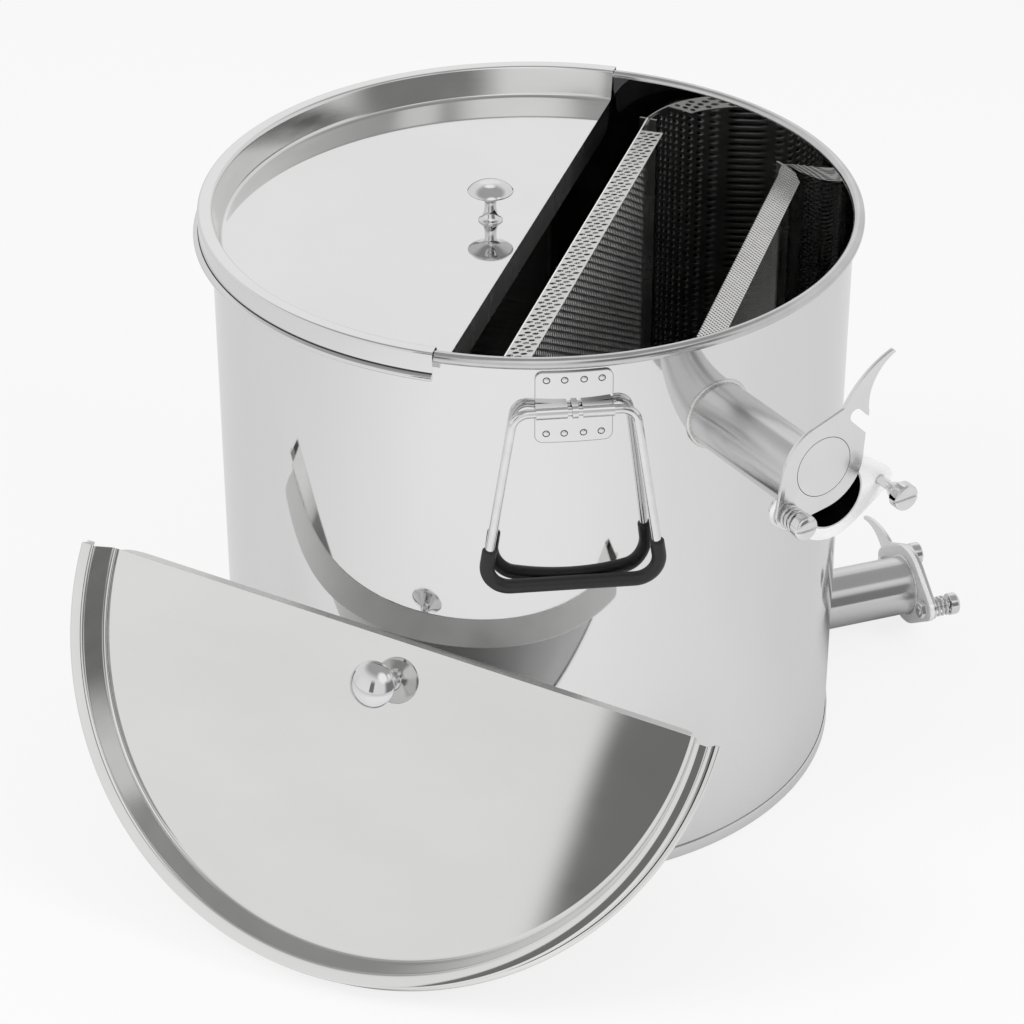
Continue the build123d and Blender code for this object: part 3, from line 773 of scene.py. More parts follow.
# %% Lids
LID_SEATS = {"left": left_seat, "right": right_seat}
LID_FINISHES = {
    # panel, lip, slot
    "left": (lid_sheet_mirror, shaded_steel, "polished_steel"),
    "right": (lid_sheet_satin, lip_sheet, "satin_steel"),
}
FLAT_AREA = 120


def keep_flat(made, least_area):
    """Faces over an area in square millimetres keep their own normals, so no bend tilts a reflection."""
    mesh = made.data
    normals = []
    for face in mesh.polygons:
        own = face.area > least_area * MM * MM
        for loop in face.loop_indices:
            normals.append(tuple(face.normal if own else mesh.corner_normals[loop].vector))
    mesh.normals_split_custom_set(normals)


for side, seat in LID_SEATS.items():
    panel, lip_finish, slot = LID_FINISHES[side]
    lid = piece(
        lid_half(), f"{side}_lid_half", [panel, drawn_wall, painted_shade_sheet], f"{side}_lid", slot, f"{side}_lid",
        place=seat, smooth=35,
    )
    keep_flat(lid, FLAT_AREA)
    piece(lid_lip(), f"{side}_lid_lip", [lip_finish], f"{side}_lid", slot, place=seat)
    piece(crease_shadow(), f"{side}_crease_shadow", [engraving_and_shade_line], f"{side}_lid", slot, place=seat)

# %% [markdown]
# ## The lid knobs
# A knob is a turned mushroom: a domed cap, a waist and a foot that spreads on the panel. A stack of spheres
# and cones would need its joints smoothed, while Bezier curves in one profile give the waist its hollow and
# the cap its dome in a handful of handles.

# %% Knobs
KNOB_SETBACK = 34.0
KNOB_STEPS = 96


def shifted(place, u, v, w=0.0, angle=0.0):
    """The place moved in its own axes and turned about its own z."""
    return place @ Matrix.Translation(Vector((u, v, w)) * MM) @ Matrix.Rotation(radians(angle), 4, "Z")


knob_profile = [(0, 0), (9.2, 0)] + arc((9.0, 0.7), 0.6, -60, 60, 4)
knob_profile += curve((9.0, 1.6), (6.4, 3.0), (4.6, 7.0), (4.6, 13.0))
knob_profile += curve((4.6, 14.0), (4.6, 20.0), (9.0, 21.6), (17.2, 24.6))
knob_profile += arc((17.2, 25.6), 0.8, -60, 60, 5)
knob_profile += curve((17.4, 26.6), (13.5, 31.0), (7.0, 33.0), (0, 33.0), 16)
for side, seat in LID_SEATS.items():
    piece(
        spun(knob_profile, KNOB_STEPS), f"{side}_knob", [chrome], f"{side}_lid", "bright_hardware",
        f"{side}_lid_knob", place=shifted(seat, 0, -KNOB_SETBACK, -LID_PANEL), smooth=50,
    )

# %% [markdown]
# ## The strainers
# The coarse strainer is punched sheet. Thousands of holes could be booleans, which would take minutes, so
# the sheet starts as a grid sheared until its crossings stagger by 60 degrees, a vertex bevel opens a small
# face at every crossing, and those faces are deleted. The outline comes first. It is cut by planes, because
# the lips are narrower at their free edge, to clear the round wall.

# %% Trimmed outline
def trimmed(bm, half_width, half_height, narrow, ease=0.0):
    """Trims a flat sheet to a rectangle, or to a trapezium whose narrower edge has eased corners."""
    slope = Vector((2 * half_height, half_width - narrow)).normalized()
    sides = [
        ((half_width, -half_height), (slope.x, slope.y)),
        ((-half_width, -half_height), (-slope.x, slope.y)),
        ((0, half_height), (0, 1)),
        ((0, -half_height), (0, -1)),
    ]
    if ease:
        for side in (1, -1):
            way = Vector((side * slope.x, slope.y + 1)).normalized()
            sides.append(((side * narrow - way.x * ease, half_height - way.y * ease), (way.x, way.y)))
    for point, normal in sides:
        cut_off(bm, (point[0] * MM, point[1] * MM, 0), (*normal, 0))


# %% Punched sheet
STRAINER_TOP = 436.0
STRAINER_FOOT = 1.5
STRAINER_SHEET = 1.0
STRAINER_LIP = 20.0
STRAINER_PLAY = 0.5
GUIDE_INNER = 247.75
HOLE_PITCH = 6.2
HOLE_FACE = 1.2


def punched_sheet(half_width, half_height, hole, border, narrow=None, ease=0.0):
    """A flat sheet in XY with staggered round holes, plain along its border, in millimetres."""
    count = int(2 * (half_width + half_height) / HOLE_PITCH)
    bm = bmesh.new()
    bmesh.ops.create_grid(bm, x_segments=count, y_segments=count, size=count * HOLE_PITCH / 2 * MM)
    stagger = Matrix(((sqrt(0.75), 0, 0, 0), (0.5, 1, 0, 0), (0, 0, 1, 0), (0, 0, 0, 1)))
    bmesh.ops.transform(bm, matrix=stagger, verts=bm.verts)
    trimmed(bm, half_width, half_height, half_width if narrow is None else narrow, ease)
    crossings = [
        v for v in bm.verts
        if len(v.link_edges) == 4
        and abs(v.co.x) < (half_width - border) * MM
        and abs(v.co.y) < (half_height - border) * MM
    ]
    opened = bmesh.ops.bevel(
        bm, geom=crossings, offset=hole * MM, offset_type="OFFSET", segments=2,
        profile=0.08, affect="VERTICES", material=-1, clamp_overlap=True,
    )
    # The bevel names other faces too, and only the small ones are holes.
    small = (HOLE_FACE * hole * MM) ** 2
    holes = [f for f in opened["faces"] if len(f.verts) == 4 and f.calc_area() < small]
    bmesh.ops.delete(bm, geom=holes, context="FACES")
    return bm


def thickened(bm, thickness):
    """The flat sheet given its thickness, its cut edges marked for the painted light and shade of the hole
    walls.
    """
    bmesh.ops.recalc_face_normals(bm, faces=bm.faces)
    bmesh.ops.solidify(bm, geom=bm.faces[:], thickness=thickness * MM)
    for face in bm.faces:
        face.normal_update()
        face.material_index = int(abs(face.normal.z) < 0.5)
    return bm


# %% [markdown]
# A strainer stands upright between its guides and its lip lies level on top, so each has a plane of its own.
# The sheet is made in two halves, because as one mesh it would be too heavy to keep whole.

# %% Coarse strainer
COARSE_PLACE = 31.0
SHEET_HOLE = 1.9
SHEET_BORDER = 5.0
LIP_HOLE = 2.2
LIP_BORDER = 1.0
LIP_EASE = 3.0
LIP_SHEET = 0.3


def chord(place):
    """Half of the clear width between the guides at this distance from the axis."""
    return sqrt(GUIDE_INNER**2 - place**2) - STRAINER_PLAY


def sheet_place(place):
    """The plane of a strainer: x along the drum's y, y up, z along the drum's x."""
    seat = Matrix(((0, 0, 1, 0), (1, 0, 0, 0), (0, 1, 0, 0), (0, 0, 0, 1)))
    seat.translation = Vector((place, 0, (STRAINER_TOP + STRAINER_FOOT) / 2)) * MM
    return seat


def lip_place(place):
    """The plane of a strainer's lip: x along the drum's y, y towards the open side, z down."""
    seat = Matrix(((0, 1, 0, 0), (1, 0, 0, 0), (0, 0, -1, 0), (0, 0, 0, 1)))
    seat.translation = Vector((place + STRAINER_LIP / 2, 0, STRAINER_TOP - STRAINER_SHEET / 2)) * MM
    return seat


half_tall = (STRAINER_TOP - STRAINER_FOOT) / 2
coarse_half = chord(COARSE_PLACE + STRAINER_SHEET)
sheet = punched_sheet(coarse_half, half_tall, SHEET_HOLE, SHEET_BORDER)
for part, way, stands_for in (("upper", -1, ["coarse_strainer"]), ("lower", 1, [])):
    half = sheet.copy()
    cut_off(half, (0, 0, 0), (0, way, 0))
    piece(
        thickened(half, STRAINER_SHEET), f"coarse_{part}_sheet", [punched_steel, painted_lit_holes],
        "coarse_strainer", "strainer_steel", *stands_for,
        place=shifted(sheet_place(COARSE_PLACE), 0, 0, STRAINER_SHEET),
    )
sheet.free()
lip = punched_sheet(
    coarse_half, STRAINER_LIP / 2, LIP_HOLE, LIP_BORDER, chord(COARSE_PLACE + STRAINER_LIP), LIP_EASE
)
piece(
    thickened(lip, LIP_SHEET), "coarse_lip", [punched_lip, painted_shaded_holes], "coarse_strainer",
    "strainer_steel", place=lip_place(COARSE_PLACE),
)

# %% [markdown]
# The fine strainer is wire cloth. A weave of round wires would be heavy and no eye could follow it, so two
# families of thin straight bars cross at 45 degrees, one just above the other.

# %% Fine strainer
FINE_PLACE = 160.0
WIRE_PITCH = 2.74
SHEET_WIRE = (0.7, 0.15)
LIP_WIRE = (1.2, 0.6)
FINE_LIP_EASE = 4.0


def wire_cloth(half_width, half_height, wire, depth):
    """Two families of straight bars at 45 degrees, trimmed to a rectangle in XY."""
    bm = bmesh.new()
    count = int((half_width + half_height) * sqrt(2) / WIRE_PITCH)
    for family in (1, -1):
        for i in range(-count // 2, count // 2 + 1):
            offset = i * WIRE_PITCH * sqrt(2)
            low = max(-half_width, -half_height - offset if family > 0 else offset - half_height)
            high = min(half_width, half_height - offset if family > 0 else offset + half_height)
            if high - low < wire:
                continue
            middle = (low + high) / 2
            bar = bmesh.ops.create_cube(bm, size=1.0)["verts"]
            bmesh.ops.scale(bm, verts=bar, vec=Vector(((high - low) * sqrt(2), wire, depth)) * MM)
            slant = Matrix.Rotation(family * pi / 4, 3, "Z")
            bmesh.ops.rotate(bm, verts=bar, cent=(0, 0, 0), matrix=slant)
            height = middle + offset if family > 0 else offset - middle
            bmesh.ops.translate(bm, verts=bar, vec=Vector((middle, height, family * depth / 2.5)) * MM)
    return bm


fine_half = chord(FINE_PLACE + STRAINER_SHEET)
# The upright cloth takes a darker steel than its lip: painted shade.
piece(
    wire_cloth(fine_half, half_tall, *SHEET_WIRE), "fine_sheet", [shaded_cloth], "fine_strainer",
    "strainer_steel", "fine_strainer", place=shifted(sheet_place(FINE_PLACE), 0, 0, STRAINER_SHEET / 2),
)
fine_lip = wire_cloth(fine_half, STRAINER_LIP / 2, *LIP_WIRE)
trimmed(fine_lip, fine_half, STRAINER_LIP / 2, chord(FINE_PLACE + STRAINER_LIP), FINE_LIP_EASE)
bmesh.ops.holes_fill(fine_lip, edges=[e for e in fine_lip.edges if e.is_boundary], sides=0)
piece(fine_lip, "fine_lip", [cloth_steel], "fine_strainer", "strainer_steel", place=lip_place(FINE_PLACE))

# %% [markdown]
# The guides that hold the strainers keep the frame's own meshes, which already have their shape. They only
# need a finish.

# %% Guides
for name in ("coarse_front_guide", "coarse_back_guide", "fine_front_guide", "fine_back_guide"):
    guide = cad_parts[name].data
    guide.materials.clear()
    guide.materials.append(cloth_steel)
    print(name, "faces", len(guide.polygons))

# %% [markdown]
# ## Outlet pipes and their welds
# Each pipe is a spun tube. Its root has to follow the round wall. A boolean could trim it, but moving the
# vertices of that end onto the drum's radius keeps the faces long and clean, and the weld bead around the
# root takes the same saddle shape. The tube is brushed along its length, which stretches its shine, so its
# steel has a tangent along the pipe. The bore is left dark.

# %% Pipes
PIPE_WALL = 1.2
PIPE_STEPS = 128
PIPE_BRUSH = 0.9
BORE = 1
FLANGE_THICKNESS = 4.0
ROOT_BEAD = 1.9
ROOT_PROUD = 0.7
FLANGE_BEAD = 1.2
FLANGE_PROUD = 0.4
FLANGE_BEAD_BACK = 0.3


def wall_at(v, radius, reach):
    """Where the drum's wall lies along the pipe's axis, beside a vertex."""
    return (sqrt(radius**2 - (v.co.x / MM) ** 2) - reach) * MM


def weld_ring(radius, bead, height):
    """A rounded bead of weld around a pipe, in the pipe's own axes."""
    return spun(arc((radius, height), bead, -180, 180, 12)[:-1], PIPE_STEPS, closed=True)


def pipe_tube(reach):
    """A pipe from the drum's inner wall to its flange, with its bore marked."""
    root = DRUM_INNER - reach
    bore = PIPE_RADIUS - PIPE_WALL
    bm = spun([(PIPE_RADIUS, root), (PIPE_RADIUS, 0), (bore, 0), (bore, root)], PIPE_STEPS, closed=True)
    for v in bm.verts:
        if v.co.z < (root + 1) * MM:
            v.co.z = wall_at(v, DRUM_INNER, reach)
    for face in bm.faces:
        if all(v.co.xy.length < (bore + 0.1) * MM for v in face.verts):
            face.material_index = BORE
    return bm


def brushed_along(finish, way):
    """Stretches a steel's shine along one direction, as a lengthwise brush leaves it."""
    tree = finish.node_tree
    tangent = add(tree, "CombineXYZ", dict(enumerate(way)))["Vector"]
    feed(tree, tree.nodes["Principled BSDF"], {"Anisotropic": PIPE_BRUSH, "Tangent": tangent})


for gate, (seat, reach) in GATES.items():
    pipe_steel = steel(f"{gate}_pipe_steel", 0.70, 0.66, (0.17, 0.20), 12)
    brushed_along(pipe_steel, seat.to_3x3() @ Vector((0, 0, 1)))
    piece(
        pipe_tube(reach), f"{gate}_outlet_pipe", [pipe_steel, shaded_steel], "tank", "polished_steel",
        f"{gate}_pipe", place=seat,
    )
    weld = weld_ring(PIPE_RADIUS + ROOT_PROUD, ROOT_BEAD, 0)
    for v in weld.verts:
        v.co.z += wall_at(v, DRUM_RADIUS, reach)
    piece(weld, f"{gate}_root_weld", [weld_bead], "tank", "satin_steel", place=seat)
    ring = weld_ring(PIPE_RADIUS + FLANGE_PROUD, FLANGE_BEAD, -FLANGE_THICKNESS - FLANGE_BEAD_BACK)
    piece(ring, f"{gate}_flange_weld", [weld_bead], "tank", "satin_steel", place=seat)

# %% [markdown]
# ## Plates with eased edges
# Flanges, blades, nuts and screws already have their shape in the frame, but a knife-sharp edge never
# catches light. A copy of the node's mesh is merged, its flat faces are dissolved into whole ones, and a
# small bevel on the sharp edges gives the bright line that a deburred plate shows.

# %% Eased plates
FLANGE_EASE = 0.5
PLATE_EASE = 0.4
SHARP_ANGLE = 35


def eased(node, width):
    """A copy of a node's mesh with its sharp edges bevelled."""
    bm = bmesh.new()
    bm.from_mesh(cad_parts[node].data)
    bmesh.ops.remove_doubles(bm, verts=bm.verts, dist=2e-6)
    bmesh.ops.dissolve_limit(
        bm, angle_limit=radians(1), use_dissolve_boundaries=False, verts=bm.verts, edges=bm.edges,
        delimit={"NORMAL"},
    )
    rounded(bm, [
        e for e in bm.edges if len(e.link_faces) == 2 and e.calc_face_angle() > radians(SHARP_ANGLE)
    ], width)
    return bm


for gate in GATES:
    flange, blade = f"{gate}_gate_flange", f"{gate}_gate_blade"
    piece(eased(flange, FLANGE_EASE), f"{gate}_flange_plate", [flange_steel], "tank", "plate_steel", flange)
    piece(eased(blade, PLATE_EASE), f"{gate}_blade_plate", [gate_plate], f"{gate}_gate", "plate_steel", blade)
nuts = "gate_pivot_nuts"
piece(eased(nuts, PLATE_EASE), "pivot_nuts", [chrome], "tank", "bright_hardware", nuts)
for side in LID_SEATS:
    screw = f"{side}_knob_screw"
    piece(
        eased(screw, PLATE_EASE), f"{side}_lid_screw", [chrome], f"{side}_lid", "bright_hardware", screw
    )

# %% [markdown]
# A plain circle is engraved on each blade. It could be a groove, but a flat ring that stands a hair above the
# steel renders as the same fine dark line without cutting the plate.

# %% Engraved circles
EAR_OFFSET = 42.0
BLADE_GAP = 0.15
BLADE_THICKNESS = 3.0
ENGRAVED_RADIUS = 23.0
ENGRAVED_SECTION = ((-0.25, 0), (-0.2, 0.03), (0.2, 0.03), (0.25, 0))
ENGRAVED_STEPS = 128
OPENINGS = {"upper": 45.0, "lower": 0.0}
for gate, (seat, _) in GATES.items():
    blade_seat = shifted(seat, -EAR_OFFSET, 0, BLADE_GAP + BLADE_THICKNESS, OPENINGS[gate])
    line = spun([(ENGRAVED_RADIUS + r, z) for r, z in ENGRAVED_SECTION], ENGRAVED_STEPS, closed=True)
    piece(line, f"{gate}_blade_circle", [engraving_and_shade_line], f"{gate}_gate", "plate_steel",
          place=shifted(blade_seat, EAR_OFFSET, 0))

# %% [markdown]
# ## Pivots, springs and locks
# A spring keeps each blade tight on its flange. It could be a curve with a bevel, but a small circle that a
# spin carries round and up at the same time is a mesh at once: `dvec` is the rise at each step. Both springs
# are one node of the frame, and so are both bolts, so the upper one stands for the pair.

# %% Springs
SPRING_FOOT = 3.45
SPRING_LENGTH = 14.0
SPRING_RADIUS = 7.6
SPRING_WIRE = 2.4
SPRING_SIDES = 12
SPRING_TURNS = 3
TURN_STEPS = 32
FOR_THE_PAIR = "upper"
for gate, (seat, _) in GATES.items():
    bm = bmesh.new()
    ring = bmesh.ops.create_circle(bm, segments=SPRING_SIDES, radius=SPRING_WIRE / 2 * MM)["verts"]
    bmesh.ops.rotate(bm, verts=ring, cent=(0, 0, 0), matrix=Matrix.Rotation(pi / 2, 3, "X"))
    bmesh.ops.translate(bm, verts=ring, vec=Vector((SPRING_RADIUS, 0, SPRING_FOOT + SPRING_WIRE / 2)) * MM)
    steps = SPRING_TURNS * TURN_STEPS
    rise = (SPRING_LENGTH - SPRING_WIRE) / steps
    first = bm.edges[:]
    coil = bmesh.ops.spin(
        bm, geom=ring + first, cent=(0, 0, 0), axis=(0, 0, 1), dvec=(0, 0, rise * MM),
        angle=2 * pi * SPRING_TURNS, steps=steps, use_merge=False, use_duplicate=False,
    )
    bmesh.ops.contextual_create(bm, geom=first)
    bmesh.ops.contextual_create(bm, geom=edges_of(coil["geom_last"]))
    bmesh.ops.recalc_face_normals(bm, faces=bm.faces)
    stands_for = ["gate_springs"] if gate == FOR_THE_PAIR else []
    piece(bm, f"{gate}_spring", [spring_steel], "tank", "bright_hardware", *stands_for,
          place=shifted(seat, -EAR_OFFSET, 0))

# %% [markdown]
# The pivot bolt holds the spring. It is turned, so it is spun, and the screwdriver slot is the one thing that
# isn't round, so it is cut by a boolean.

# %% Pivot bolts
SLOT_WIDTH = 2.0
SLOT_LENGTH = 60.0
PIVOT_RADIUS = 4.0
PIVOT_HEAD = 9.5
PIVOT_HEAD_FOOT = 17.5
PIVOT_TOP = 27.5
PIVOT_TAIL = -11.05
PIVOT_DOME = 4.0
PIVOT_SLOT = 2.5
TURNED_EDGE = 0.6
TURNED_STEPS = 64


def slotted(made, place, top, depth):
    """Cuts a screwdriver slot across a turned head."""
    box = bmesh.new()
    bmesh.ops.create_cube(box, size=1.0)
    bmesh.ops.scale(box, verts=box.verts, vec=Vector((SLOT_LENGTH, SLOT_WIDTH, 2 * depth)) * MM)
    bmesh.ops.translate(box, verts=box.verts, vec=(0, 0, top * MM))
    bmesh.ops.transform(box, matrix=place, verts=box.verts)
    cut_out(made, box)


dome_foot = PIVOT_TOP - PIVOT_DOME
pivot_profile = [(0, PIVOT_TAIL), (PIVOT_RADIUS - TURNED_EDGE, PIVOT_TAIL)]
pivot_profile += [(PIVOT_RADIUS, PIVOT_TAIL + TURNED_EDGE), (PIVOT_RADIUS, PIVOT_HEAD_FOOT)]
pivot_profile += [(PIVOT_HEAD - TURNED_EDGE, PIVOT_HEAD_FOOT), (PIVOT_HEAD, PIVOT_HEAD_FOOT + TURNED_EDGE)]
pivot_profile += [(PIVOT_HEAD, dome_foot)]
pivot_profile += curve(
    (PIVOT_HEAD, dome_foot), (PIVOT_HEAD, PIVOT_TOP - 1.4), (6, PIVOT_TOP), (0, PIVOT_TOP), 14
)
for gate, (seat, _) in GATES.items():
    pivot_seat = shifted(seat, -EAR_OFFSET, 0)
    stands_for = ["gate_pivot_bolts"] if gate == FOR_THE_PAIR else []
    bolt = piece(spun(pivot_profile, TURNED_STEPS), f"{gate}_pivot_bolt", [chrome], "tank", "bright_hardware",
                 *stands_for, place=pivot_seat)
    slotted(bolt, pivot_seat, PIVOT_TOP, PIVOT_SLOT)

# %% [markdown]
# On the other ear a cone sits on a lock screw. Turned down, it presses the blade's notch. Cone and screw ride
# on bodies of their own, because the screw turns and the cone doesn't.

# %% Lock screws
LOCK_RADIUS = 3.5
LOCK_TAIL = -8.0
LOCK_HEAD = 10.0
LOCK_FOOT = 22.05
LOCK_TOP = 31.05
LOCK_CHAMFER = 0.8
LOCK_ROUND = 1.5
LOCK_SLOT = 2.2
CONE_FOOT = 13.0
CONE_TOP = 22.0
CONE_BORE = LOCK_RADIUS + 0.05
cone_profile = [(CONE_BORE, CONE_FOOT), (4.4, CONE_FOOT), (4.7, CONE_FOOT + 0.3)]
cone_profile += [(8.3, CONE_TOP - 0.5), (8.5, CONE_TOP - 0.2), (8.3, CONE_TOP), (CONE_BORE, CONE_TOP)]
lock_profile = [(0, LOCK_TAIL), (LOCK_RADIUS - TURNED_EDGE, LOCK_TAIL)]
lock_profile += [(LOCK_RADIUS, LOCK_TAIL + TURNED_EDGE), (LOCK_RADIUS, LOCK_FOOT)]
lock_profile += [(LOCK_HEAD - LOCK_CHAMFER, LOCK_FOOT), (LOCK_HEAD, LOCK_FOOT + LOCK_CHAMFER)]
lock_profile += arc((LOCK_HEAD - LOCK_ROUND, LOCK_TOP - LOCK_ROUND), LOCK_ROUND, 0, 90, 5) + [(0, LOCK_TOP)]
for gate, (seat, _) in GATES.items():
    lock_seat = shifted(seat, EAR_OFFSET, 0)
    cone, lock = f"{gate}_lock_cone", f"{gate}_lock_screw"
    piece(spun(cone_profile, TURNED_STEPS, closed=True), f"{gate}_cone", [chrome], cone, "bright_hardware",
          cone, place=lock_seat, smooth=30)
    screw = piece(spun(lock_profile, TURNED_STEPS), f"{gate}_lock", [chrome], lock, "bright_hardware",
                  lock, place=lock_seat)
    slotted(screw, lock_seat, LOCK_TOP, LOCK_SLOT)

# %% [markdown]
# ## Handles
# A bail is one bent rod. A curve with a bevel would make it too, but its section narrows in tight bends. So
# it is drawn like a pen stroke: a circle is extruded along each straight run and spun through each bend, and
# the section stays round and true. The rubber grip is the same stroke, thicker.

# %% Bent rods
BEND_STEPS = 14
END_ROUND = 0.25


def bent_rod(corners, bends, radius, sides):
    """A round rod along corners in the XY plane, rounded by bends, in millimetres."""
    points = [Vector(c) for c in corners]
    bm = bmesh.new()
    ring = bmesh.ops.create_circle(bm, segments=sides, radius=radius * MM)["verts"]
    way = (points[1] - points[0]).normalized()
    bmesh.ops.rotate(bm, verts=ring, cent=(0, 0, 0), matrix=Matrix.Rotation(pi / 2, 3, "Y"))
    bmesh.ops.rotate(bm, verts=ring, cent=(0, 0, 0), matrix=Matrix.Rotation(atan2(way.y, way.x), 3, "Z"))
    bmesh.ops.translate(bm, verts=ring, vec=(*(points[0] * MM), 0))
    first = bm.edges[:]
    loop = first
    done = 0.0
    for i in range(1, len(points)):
        way = (points[i] - points[i - 1]).normalized()
        run = (points[i] - points[i - 1]).length - done
        turn, setback = 0.0, 0.0
        if i < len(points) - 1:
            after = (points[i + 1] - points[i]).normalized()
            turn = atan2(way.x * after.y - way.y * after.x, way.dot(after))
            setback = bends[i - 1] * tan(abs(turn) / 2)
        grown = bmesh.ops.extrude_edge_only(bm, edges=loop)["geom"]
        verts = verts_of(grown)
        bmesh.ops.translate(bm, verts=verts, vec=(*(way * (run - setback) * MM), 0))
        loop = [e for e in edges_of(grown) if all(v in verts for v in e.verts)]
        if turn:
            side = Vector((-way.y, way.x)) * (1 if turn > 0 else -1)
            centre = points[i] - way * setback + side * bends[i - 1]
            swung = bmesh.ops.spin(
                bm, geom=verts + loop, cent=(*(centre * MM), 0), axis=(0, 0, 1), dvec=(0, 0, 0),
                angle=turn, steps=BEND_STEPS, use_merge=False, use_duplicate=False,
            )
            loop = edges_of(swung["geom_last"])
        done = setback
    bmesh.ops.contextual_create(bm, geom=first)
    bmesh.ops.contextual_create(bm, geom=loop)
    bmesh.ops.recalc_face_normals(bm, faces=bm.faces)
    rounded(bm, [e for e in bm.edges if e.calc_face_angle(0) > radians(60)], END_ROUND * radius)
    return bm


# %% Bails and grips
ROD_TOP = 44.4
ROD_BOTTOM = 67.2
ROD_LENGTH = 146.5
ROD_RADIUS = 3.5
ROD_SIDES = 20
ROD_END = 1.0
TOP_BEND = 13
GRIP_BEND = 18
GRIP_RADIUS = 5.5
GRIP_RISE = 33.0
GRIP_SIDES = 28
HINGE_RADIUS = 256.0
HINGE_HEIGHT = 428.5
HANDLE_BEARING = -67.2

grip_half = ROD_BOTTOM - GRIP_RISE * (ROD_BOTTOM - ROD_TOP) / ROD_LENGTH
rod_corners = [(ROD_END, -ROD_LENGTH), (ROD_BOTTOM, -ROD_LENGTH), (ROD_TOP, 0), (-ROD_TOP, 0),
               (-ROD_BOTTOM, -ROD_LENGTH), (-ROD_END, -ROD_LENGTH)]
rod_bends = [GRIP_BEND, TOP_BEND, TOP_BEND, GRIP_BEND]
grip_corners = [(-grip_half, GRIP_RISE - ROD_LENGTH), (-ROD_BOTTOM, -ROD_LENGTH),
                (ROD_BOTTOM, -ROD_LENGTH), (grip_half, GRIP_RISE - ROD_LENGTH)]
grip_bends = [GRIP_BEND, GRIP_BEND]
HINGES = {
    "front": on_wall(HANDLE_BEARING, HINGE_RADIUS, HINGE_HEIGHT),
    "back": on_wall(HANDLE_BEARING + 180, HINGE_RADIUS, HINGE_HEIGHT),
}
for side, hinge in HINGES.items():
    piece(bent_rod(rod_corners, rod_bends, ROD_RADIUS, ROD_SIDES), f"{side}_bail_rod", [chrome],
          f"{side}_bail", "bright_hardware", f"{side}_bail", place=hinge)
    piece(bent_rod(grip_corners, grip_bends, GRIP_RADIUS, GRIP_SIDES), f"{side}_grip_hose", [hose_rubber],
          f"{side}_bail", "grip_rubber", f"{side}_grip", place=hinge)

# %% [markdown]
# The handle plate is a flat plate rolled to the drum's curve. A grid with its corners trimmed is bent by
# moving each vertex onto the wall's radius, then it gets its thickness. The plate is as bright as the drum
# behind it and would vanish there, so an inset border and the plate's edges get the darker sheet: painted
# shade, as a shadowed edge has.

# %% Curved plate
PLATE_HALF_WIDTH = 28.5
PLATE_HALF_HEIGHT = 29.0
PLATE_RISE = 1.0
PLATE_SHEET = 1.5
PLATE_CORNER = 6.0
PLATE_BORDER = 0.6
PLATE_GRID = (24, 4)
CORNER_CUTS = (18, 36, 54, 72)
BORDER = 1
PLATE_RADIUS = DRUM_RADIUS + 0.05


def curved_plate():
    """The plate in the hinge's axes, rolled to the drum."""
    bm = bmesh.new()
    bmesh.ops.create_grid(bm, x_segments=PLATE_GRID[0], y_segments=PLATE_GRID[1], size=1.0)
    bmesh.ops.scale(bm, verts=bm.verts, vec=(PLATE_HALF_WIDTH * MM, PLATE_HALF_HEIGHT * MM, 1))
    inset = Vector((PLATE_HALF_WIDTH - PLATE_CORNER, PLATE_HALF_HEIGHT - PLATE_CORNER, 0))
    for x, y in ((1, 1), (1, -1), (-1, 1), (-1, -1)):
        for angle in CORNER_CUTS:
            way = Vector((x * cos(radians(angle)), y * sin(radians(angle)), 0))
            corner = Vector((x * inset.x, y * inset.y, 0))
            cut_off(bm, (corner + way * PLATE_CORNER) * MM, way)
    for v in bm.verts:
        turn = v.co.x / (PLATE_RADIUS * MM)
        v.co = Vector((
            PLATE_RADIUS * sin(turn) * MM,
            v.co.y + PLATE_RISE * MM,
            (PLATE_RADIUS * cos(turn) - HINGE_RADIUS) * MM,
        ))
    bmesh.ops.recalc_face_normals(bm, faces=bm.faces)
    if sum(f.normal.z for f in bm.faces) < 0:
        bmesh.ops.reverse_faces(bm, faces=bm.faces)
    border = bmesh.ops.inset_region(
        bm, faces=bm.faces[:], thickness=PLATE_BORDER * MM, depth=0, use_boundary=True, use_even_offset=True
    )
    # The inset border takes the darker sheet, as painted shade.
    for face in border["faces"]:
        face.material_index = BORDER
    bmesh.ops.solidify(bm, geom=bm.faces[:], thickness=-PLATE_SHEET * MM)
    return bm


# %% [markdown]
# Two straps wrap the rod as knuckles, and a narrow hook holds it in the middle. They are outlines that are
# extruded along the rod, and `merged_in` adds them to the plate's mesh, because they are one folded sheet
# with it.

# %% Straps
PLATE_BACK = PLATE_RADIUS - HINGE_RADIUS
KNUCKLE = (5.05, 3.55)
HOOK = (5.3, 4.1)
STRAPS = (
    # outer and inner radius, then where the strap starts and ends along the rod
    (*KNUCKLE, 5.5, 28.5),
    (*KNUCKLE, -28.5, -5.5),
    (*HOOK, -2.25, 2.25),
)
STRAP_STEPS = 14


def merged_in(bm, other, place=None):
    """Adds the faces of another bmesh, moved to a place."""
    if place is not None:
        bmesh.ops.transform(other, matrix=place, verts=other.verts)
    mesh = bpy.data.meshes.new("passing")
    other.to_mesh(mesh)
    other.free()
    bm.from_mesh(mesh)
    bpy.data.meshes.remove(mesh)


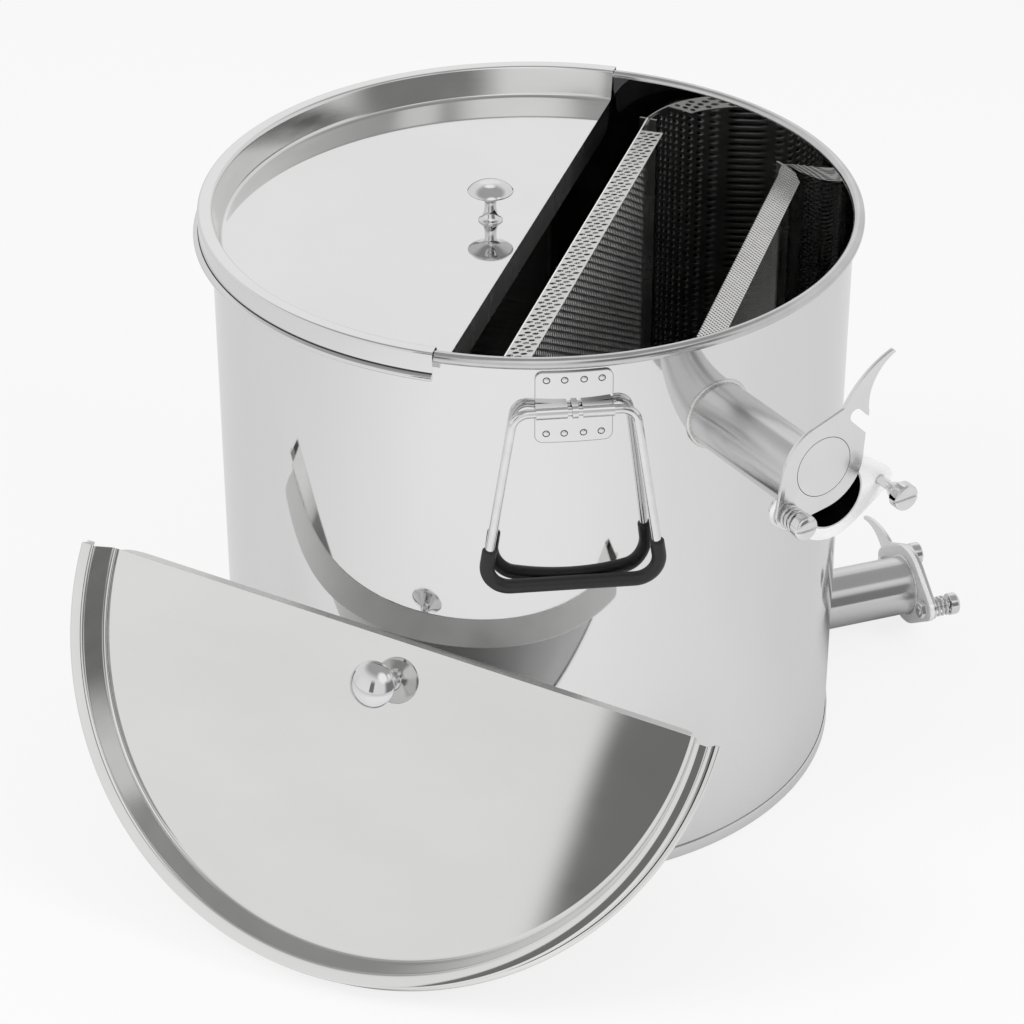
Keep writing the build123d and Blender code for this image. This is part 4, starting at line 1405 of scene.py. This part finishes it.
def strap(outer, inner, start, end):
    """A strip wrapped around the rod and closed on the plate, from one place along it to another."""
    root = PLATE_BACK + 1
    outline = [(root, outer)] + arc((0, 0), outer, 90, -90, STRAP_STEPS)
    outline += [(root, -outer), (root, -inner)] + arc((0, 0), inner, -90, 90, STRAP_STEPS) + [(root, inner)]
    return extruded([(start, y, z) for z, y in outline], (end - start, 0, 0))


# %% [markdown]
# Eight rivets stand on each plate. They could be instances, but small meshes merged into one are simpler to
# export. A thin dark ring around each head is painted shade where the head meets the plate, and keeps it
# apart from the plate, which has the same polish.

# %% Handle plates
EDGE_AREA = 8
RIVET_COLUMNS = (-20, -7, 7, 20)
RIVET_ROWS = (23.5, -20.5)
RIVET_STEPS = 20
rivet_profile = [(0, -0.4), (2.2, -0.4), (2.2, 0.1)]
rivet_profile += curve((2.2, 0.1), (2.0, 0.5), (1.2, 0.7), (0, 0.7), 6)
shade_ring_profile = [(2.1, 0.0), (2.15, 0.08), (2.75, 0.08), (2.8, 0.0)]
for side, hinge in HINGES.items():
    plate = curved_plate()
    for sizes in STRAPS:
        merged_in(plate, strap(*sizes))
    made = piece(plate, f"{side}_hinge_plate", [mirror_sheet, painted_shade_sheet], "tank", "plate_steel",
                 f"{side}_handle_plate", place=hinge)
    outward = hinge.to_3x3() @ Vector((0, 0, 1))
    # The plate's thin edge faces get the same painted shade as its border.
    for face in made.data.polygons:
        if abs(face.normal.dot(outward)) < 0.05 and face.area < EDGE_AREA * MM * MM:
            face.material_index = BORDER
    rivets, shade_rings = bmesh.new(), bmesh.new()
    face_radius = DRUM_RADIUS + PLATE_SHEET
    for u in RIVET_COLUMNS:
        turn = u / DRUM_RADIUS
        for v in RIVET_ROWS:
            spot = Vector((face_radius * sin(turn), v, face_radius * cos(turn) - HINGE_RADIUS)) * MM
            stand = Matrix.Translation(spot) @ Matrix.Rotation(turn, 4, "Y")
            merged_in(rivets, spun(rivet_profile, RIVET_STEPS), stand)
            merged_in(shade_rings, spun(shade_ring_profile, RIVET_STEPS, closed=True), stand)
    piece(rivets, f"{side}_rivets", [mirror_sheet], "tank", "plate_steel", place=hinge)
    piece(shade_rings, f"{side}_rivet_shade_rings", [engraving_and_shade_line], "tank", "plate_steel", place=hinge)
